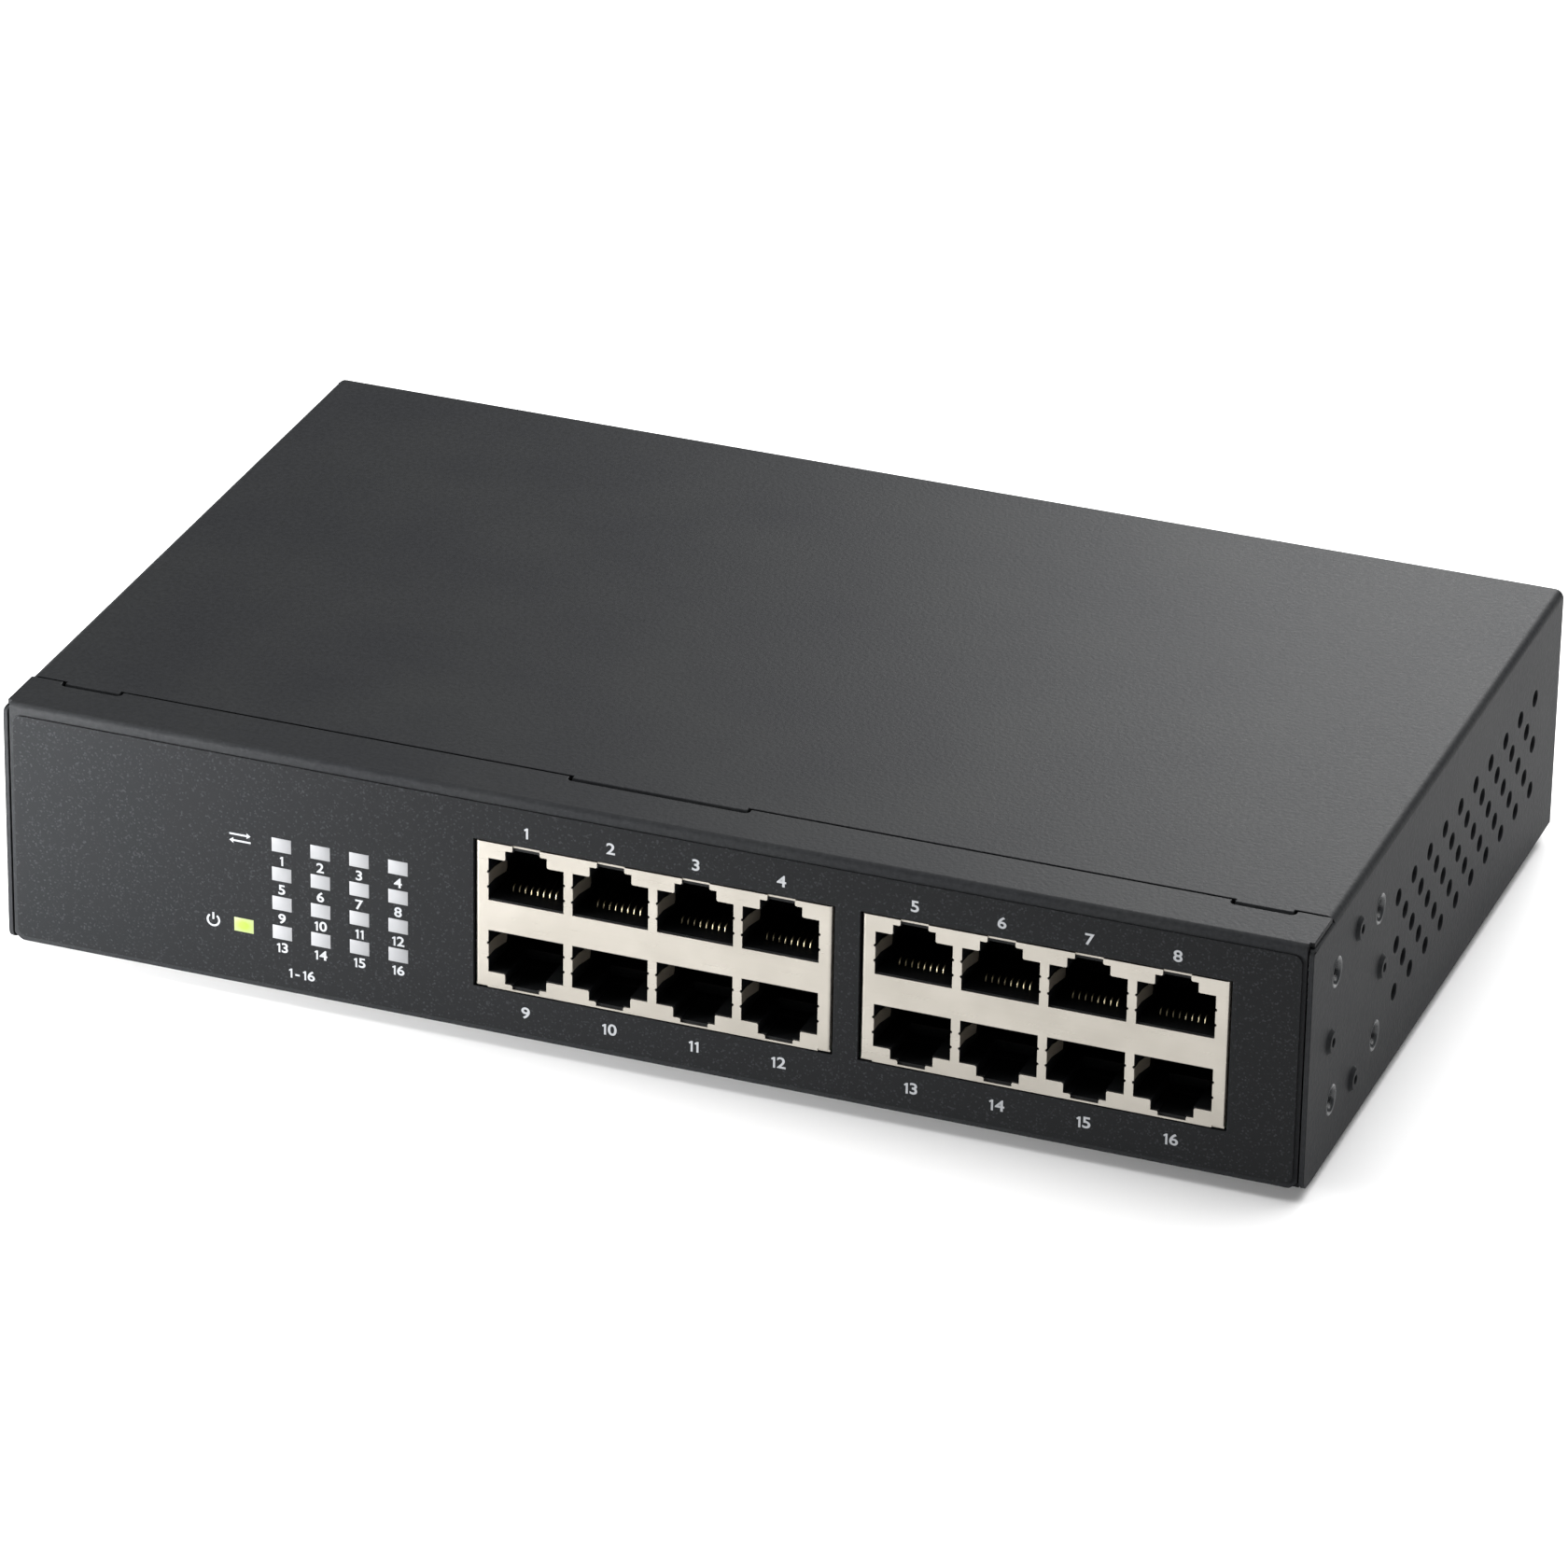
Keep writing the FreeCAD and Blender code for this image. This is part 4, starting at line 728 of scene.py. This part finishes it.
earPattern = {  # place and rise of its middle from the label and the case floor, closed profiles in mm
    "place": 23.8 * mm, "rise": 20.7 * mm, "holeSpacing": 22 * mm, "dimpleSpacing": 26 * mm,
    "dimpleHeight": 0.6 * mm,
    "rim": [(2.52, -0.03), (2.44, 0.05), (2.3, 0.1), (2.12, 0.05), (1.98, -0.06), (1.85, -0.2),
            (1.72, -0.42), (1.62, -0.75), (2.52, -0.03)],
    "shoulder": [(1.85, 0.12), (1.62, 0.4), (1.35, 0.56), (1.1, 0.585), (0.9, 0.52), (0.79, 0.3),
                 (1.85, 0.12)],
}


def makeRims():
    gloss = makeMouldedPlastic("smoothPowderCoat", "#2a2c2e", "#303234", 0.3, 1 * mm)  # paint run smooth
    y, z = labelFace + earPattern["place"], caseFloor + earPattern["rise"]
    hole, dimple = earPattern["holeSpacing"] / 2, earPattern["dimpleSpacing"] / 2
    spots = {"rim": [(y + i * hole, z + j * hole) for i in (-1, 1) for j in (-1, 1)],
             "shoulder": [(y - dimple, z), (y + dimple, z), (y, z - dimple), (y, z + dimple)]}
    wall = boxOf("top_cover")[1].x / 2 - earPattern["dimpleHeight"]
    meshes = []
    for name, places in spots.items():
        ring = lathe([(radius * mm, height * mm) for radius, height in earPattern[name]], 32)
        for side in (-1, 1):
            meshes.append(runTree(spotTree, meshOf([(side * wall, *place) for place in places]), Stamp=ring,
                                  Turn=(0, side * math.pi / 2, 0), Finish=gloss))
    addPiece("painted-rims", meshes, "case_paint", material=gloss)


makeRims()


# Parts on the boards, which show once the cover is off.

chipLeg = {  # shoulder and heel as shares of the length, under the metal and over it
    "length": 1.1 * mm, "thickness": 0.15 * mm, "shoulder": (0.35, 0.42), "heel": (0.55, 0.62), "rise": 0.45,
}


def formedLeg(rise, width, turn):  # thin formed leg whose foot lies on the board
    length, thick = chipLeg["length"], chipLeg["thickness"]
    shoulderUnder, shoulderOver = (share * length for share in chipLeg["shoulder"])
    heelUnder, heelOver = (share * length for share in chipLeg["heel"])
    outline = [(0, rise - thick), (shoulderUnder, rise - thick), (heelUnder, 0), (length, 0),
               (length, thick), (heelOver, thick), (shoulderOver, rise), (0, rise)]
    leg = flatShape(outline, width / 2)
    leg.transform(Matrix.Rotation(turn, 4, "Z") @ Matrix.Rotation(math.pi / 2, 4, "X"))
    return leg


def bodies(nodeName, radius):  # one rounded body for each solid of a node
    return [block(size, radius * mm, middle) for middle, size in solidMiddles(nodeName)]


def legRow(middle, size, turn, count, pitch, rise, width):
    out = Vector((math.cos(turn), math.sin(turn), 0))
    along = Vector((-out.y, out.x, 0))
    half = abs(out.x) * size.x / 2 + abs(out.y) * size.y / 2
    start = middle + out * half - along * pitch * (count - 1) / 2
    start.z = middle.z - size.z / 2
    return runTree(rowTree, meshOf([]), Stamp=formedLeg(rise, width, turn), Start=tuple(start),
                   Count=count, Step=tuple(along * pitch), Rows=1, Finish=slotMaterials["tinned_steel"])


chipEdge = 0.25  # mm
chips = {  # leg pitch and width in mm, legs at the right and left, legs at the back and front
    "switch_chip": (0.5, 0.22, 44, 44), "memory_chip": (0.95, 0.35, 4, 0), "core_regulator": (1.1, 0.4, 0, 5),
    "line_transformers": (1.0, 0.45, 0, 12), "opto_coupler": (2.54, 0.6, 2, 0),
}


def makeChips():
    legs = []
    for nodeName, (pitch, width, across, deep) in chips.items():
        slot = slotOf[nodeName]
        addPiece(nodeName.replace("_", "-"), bodies(nodeName, chipEdge), slot, nodeName)
        for middle, size in solidMiddles(nodeName):
            for step, count in enumerate((across, deep, across, deep)):
                if count:
                    legs.append(legRow(middle, size, step * math.pi / 2, count, pitch * mm,
                                       size.z * chipLeg["rise"], width * mm))
    addPiece("chip-legs", legs, "tinned_steel")


canMake = {  # heights from the board, and the rim's points in from the radius and down from the top
    "foot": 0.85, "footRise": 0.3 * mm, "crimp": 0.92, "crimpRise": (1.2 * mm, 1.6 * mm, 2 * mm),
    "rim": [(0, 0.6 * mm), (0.25 * mm, 0.1 * mm), (0.6 * mm, 0), (0.9 * mm, 0.3 * mm)],
}


def canBody(radius, tall):  # crimped can, rolled in at its rim
    under, groove, over = canMake["crimpRise"]
    profile = [(0, 0), (radius * canMake["foot"], 0), (radius, canMake["footRise"]), (radius, under),
               (radius * canMake["crimp"], groove), (radius, over)]
    profile += [(radius - inset, tall - drop) for inset, drop in canMake["rim"]]
    return lathe(profile + [(0, profile[-1][1])], 36)


def makeCapacitors():
    for nodeName in ("board_capacitors", "bulk_capacitor", "output_capacitors"):
        cans = []
        for middle, size in solidMiddles(nodeName):
            can = canBody(size.x / 2, size.z)
            can.transform(Matrix.Translation((middle.x, middle.y, middle.z - size.z / 2)))
            cans.append(can)
        addPiece(nodeName.replace("_", "-"), cans, slotOf[nodeName], nodeName)


standoff = {"bore": 1.5 * mm, "chamfer": 0.25 * mm, "sides": 6}


def makeStandoffs():  # hexagonal brass, bored for its screw
    solids = solidMiddles("board_standoffs")
    size = solids[0][1]
    corner, tall, bore, chamfer = size.x / 2, size.z / 2, standoff["bore"], standoff["chamfer"]
    profile = [(bore, tall), (corner - chamfer, tall), (corner, tall - chamfer), (corner, chamfer - tall),
               (corner - chamfer, -tall), (bore, -tall), (bore, tall)]
    posts = runTree(spotTree, meshOf([place for place, _ in solids]), Stamp=lathe(profile, standoff["sides"]),
                    Turn=(0, 0, 0), Finish=slotMaterials["brass_standoff"])
    addPiece("board-standoffs", posts, "brass_standoff", "board_standoffs")


choke = {"wire": 0.35 * mm, "turns": 26, "perTurn": 12, "pressed": 0.95, "bend": 0.05 * mm, "coreSteps": 16}


def makeChoke():  # toroid with a copper winding laid round it
    middle, size = boxOf("suppression_choke")
    wire, perTurn, coreSteps = choke["wire"], choke["perTurn"], choke["coreSteps"]
    steps = choke["turns"] * perTurn
    tube = size.z / 2
    ring, coreRadius, path = size.x / 2 - tube, tube - 2 * wire, []
    core = lathe([(ring + coreRadius * math.cos(a), coreRadius * math.sin(a))
                  for a in [step * 2 * math.pi / coreSteps for step in range(coreSteps + 1)]], 48)
    core.transform(Matrix.Translation(middle))
    addPiece("choke-core", core, "ferrite", "suppression_choke")
    for step in range(steps):
        around, local = 2 * math.pi * step / steps, 2 * math.pi * step / perTurn
        reach, rise = ring + (tube - wire) * math.cos(local), (tube - wire) * math.sin(local)
        path.append(middle + Vector((reach * math.cos(around), reach * math.sin(around), rise)))
    line = meshOf(path, [(k, (k + 1) % steps) for k in range(steps)])
    copper = makeMetal("enamelledCopper", "#a8552a", "#c06a38", 0.25)  # red-brown under clear enamel
    winding = runTree(wireTree, line, Radius=wire * choke["pressed"], Bend=choke["bend"], Finish=copper)
    addPiece("choke-winding", winding, "gold_contact", material=copper)


fuse = {"cap": 5.5 * mm, "capEdge": 0.3 * mm, "glass": 0.9, "glassInset": 1 * mm}


def makeFuse():  # glass tube between two plated caps
    middle, size = boxOf("mains_fuse")
    radius, half, edge = size.z / 2, size.x / 2, fuse["capEdge"]
    glass, glassEnd = radius * fuse["glass"], half - fuse["glassInset"]
    place = Matrix.Translation(middle) @ Matrix.Rotation(math.pi / 2, 4, "Y")
    tube = lathe([(0, -glassEnd), (glass, -glassEnd), (glass, glassEnd), (0, glassEnd)])
    tube.transform(place)
    addPiece("mains-fuse", tube, "fuse_glass", "mains_fuse")
    caps = []
    for end in (-1, 1):
        outer, inner = end * half, end * (half - fuse["cap"])
        shell = lathe([(0, outer), (radius - edge, outer), (radius, outer - end * edge), (radius, inner),
                       (0, inner)])
        shell.transform(place)
        caps.append(shell)
    addPiece("fuse-caps", caps, "plated_brass")


plainParts = {  # edge radius in mm
    "bridge_rectifier": 0.5, "suppression_capacitor": 0.8, "regulator_inductors": 0.9, "clock_crystal": 1.6,
    "status_leds": 0.15, "inlet_pins": 0.6,
}
coil = {"tape": (0.9, 0.92, 0.86), "tapeEdge": 2.2 * mm, "flange": 1 * mm, "flangeEdge": 0.3 * mm}
transistor = {  # heights and rises as shares of the whole
    "depth": 0.95, "height": 0.55, "rise": 0.46, "edge": 0.3 * mm,
    "tab": 1.3 * mm, "tabHeight": 0.35, "tabRise": 0.8, "tabInset": 0.75 * mm, "tabEdge": 0.2 * mm,
    "legPitch": 2.54 * mm, "leg": (0.8 * mm, 0.5 * mm), "legHeight": 0.25, "legEdge": 0.1 * mm,
}


def makePlainParts():
    for nodeName, radius in plainParts.items():
        addPiece(nodeName.replace("_", "-"), bodies(nodeName, radius), slotOf[nodeName], nodeName)


def makeCoil():  # taped winding between the two flanges of its bobbin
    middle, size = boxOf("transformer_coil")
    tapeSize = [side * share for side, share in zip(size, coil["tape"])]
    meshes = [block(tapeSize, coil["tapeEdge"], middle, 4)]
    for end in (-1, 1):
        flange = middle + Vector((0, 0, end * (size.z - coil["flange"]) / 2))
        meshes.append(block((size.x, size.y, coil["flange"]), coil["flangeEdge"], flange))
    addPiece("transformer-coil", meshes, "yellow_plastic", "transformer_coil")


def makeTransistor():  # moulded body with its metal tab behind and three legs below
    middle, size = boxOf("switching_transistor")
    floor = middle.z - size.z / 2
    body = block((size.x, size.y * transistor["depth"], size.z * transistor["height"]), transistor["edge"],
                 (middle.x, middle.y, floor + size.z * transistor["rise"]))
    addPiece("switching-transistor", body, "black_plastic", "switching_transistor")
    tabY, tabZ = middle.y - size.y / 2 + transistor["tabInset"], floor + size.z * transistor["tabRise"]
    metal = [block((size.x, transistor["tab"], size.z * transistor["tabHeight"]), transistor["tabEdge"],
                   (middle.x, tabY, tabZ))]
    legTall = size.z * transistor["legHeight"]
    for k in (-1, 0, 1):
        metal.append(block((*transistor["leg"], legTall), transistor["legEdge"],
                           (middle.x + k * transistor["legPitch"], middle.y, floor + legTall / 2)))
    addPiece("transistor-tab-and-legs", metal, "tinned_steel")


smallParts = {"size": (1.6 * mm, 0.8 * mm, 0.6 * mm), "edge": 0.08 * mm, "pitch": 3.2 * mm, "count": 34,
              "leftOfMiddle": 35.2 * mm, "rows": (37.4 * mm, 23.4 * mm)}  # rows behind the label


def makeSmallParts():  # rows of ceramic chips beside the line transformers
    middle, size = boxOf("main_board")
    z = middle.z + size.z / 2 + smallParts["size"][2] / 2
    ceramic = makeMouldedPlastic("bariumTitanate", "#8a7358", "#a08a6c", 0.45)  # fired tan ceramic, satin
    rows = []
    for row in smallParts["rows"]:
        rows.append(runTree(rowTree, meshOf([]), Stamp=block(smallParts["size"], smallParts["edge"]),
                            Start=(middle.x - smallParts["leftOfMiddle"], labelFace + row, z),
                            Count=smallParts["count"], Step=(smallParts["pitch"], 0, 0), Rows=1,
                            Finish=ceramic))
    addPiece("ceramic-chips", rows, "white_plastic", material=ceramic)


makeChips()
makeCapacitors()
makeStandoffs()
makeChoke()
makeFuse()
makePlainParts()
makeCoil()
makeTransistor()
makeSmallParts()
print("board parts made")


# Camera, light and floor.

view = {  # angles in degrees, and the lens as a multiple of the sensor's width
    "azimuth": 20.262, "elevation": 26.944, "roll": 0.983, "distance": 1414.35 * mm, "sensor": 36.0,
    "lens": 5.6357, "target": (-1.37 * mm, labelFace + 66 * mm, caseFloor + 17.265 * mm),
}


def placeCamera():
    around, up = math.radians(view["azimuth"]), math.radians(view["elevation"])
    back = Vector((math.sin(around) * math.cos(up), -math.cos(around) * math.cos(up), math.sin(up)))
    right = Vector((0, 0, 1)).cross(back).normalized()
    above = back.cross(right)
    lean = math.radians(view["roll"])
    rolledRight = math.cos(lean) * right + math.sin(lean) * above
    rolledUp = -math.sin(lean) * right + math.cos(lean) * above
    camera = bpy.data.objects.new("camera", bpy.data.cameras.new("camera"))
    scene.collection.objects.link(camera)
    turn = Matrix((rolledRight, rolledUp, back)).transposed().to_4x4()
    camera.matrix_world = Matrix.Translation(Vector(view["target"]) + back * view["distance"]) @ turn
    camera.data.sensor_width = view["sensor"]
    camera.data.lens = view["lens"] * view["sensor"]
    scene.camera = camera


studio = {"floorHalf": 4.0, "mottle": 0.3, "paper": ("#f4f4f4", "#f8f8f8"), "surround": 0.12}
softboxes = {  # place, aim, width, height, watts
    "overhead": ((0.12, 0.28, 1.25), (0.02, 0, 0), 1.6, 1.6, 31),
    "frontLeft": ((-0.27, -0.20, 0.045), (-0.1, -0.066, 0.02), 0.12, 0.05, 3.0),
    "backCard": ((0.03, 0.44, 0.24), (0.08, 0.03, 0.04), 0.24, 0.12, 2.3),
}


def addSoftbox(name, place, aim, width, height, power):
    lamp = bpy.data.lights.new(name, "AREA")
    lamp.shape = "RECTANGLE"
    lamp.size = width
    lamp.size_y = height
    lamp.energy = power
    box = bpy.data.objects.new(name, lamp)
    scene.collection.objects.link(box)
    box.location = place
    box.visible_camera = False
    box.rotation_euler = (Vector(aim) - Vector(place)).to_track_quat("-Z", "Y").to_euler()


def makeStudio():
    half = studio["floorHalf"]
    corners = [(-half, -half, 0), (half, -half, 0), (half, half, 0), (-half, half, 0)]
    floorMesh = meshOf(corners, (), [(0, 1, 2, 3)])
    floor = bpy.data.objects.new("studioFloor", floorMesh)
    scene.collection.objects.link(floor)
    material, tree, surface, place = newMaterial("palePaper", Specular_IOR_Level=0.1, Roughness=0.9)
    low, high = (colour(shade) for shade in studio["paper"])
    tint = between(tree, grain(tree, place, studio["mottle"]), low, high)
    tree.links.new(tint, surface.inputs["Base Color"])
    floorMesh.materials.append(material)
    world = bpy.data.worlds.new("studio")
    world.use_nodes = True
    world.node_tree.nodes["Background"].inputs["Color"].default_value = colour("#ffffff")
    world.node_tree.nodes["Background"].inputs["Strength"].default_value = studio["surround"]
    scene.world = world
    for name, setting in softboxes.items():
        addSoftbox(name, *setting)


placeCamera()
makeStudio()
scene.view_settings.view_transform = "Standard"
print("studio set up")
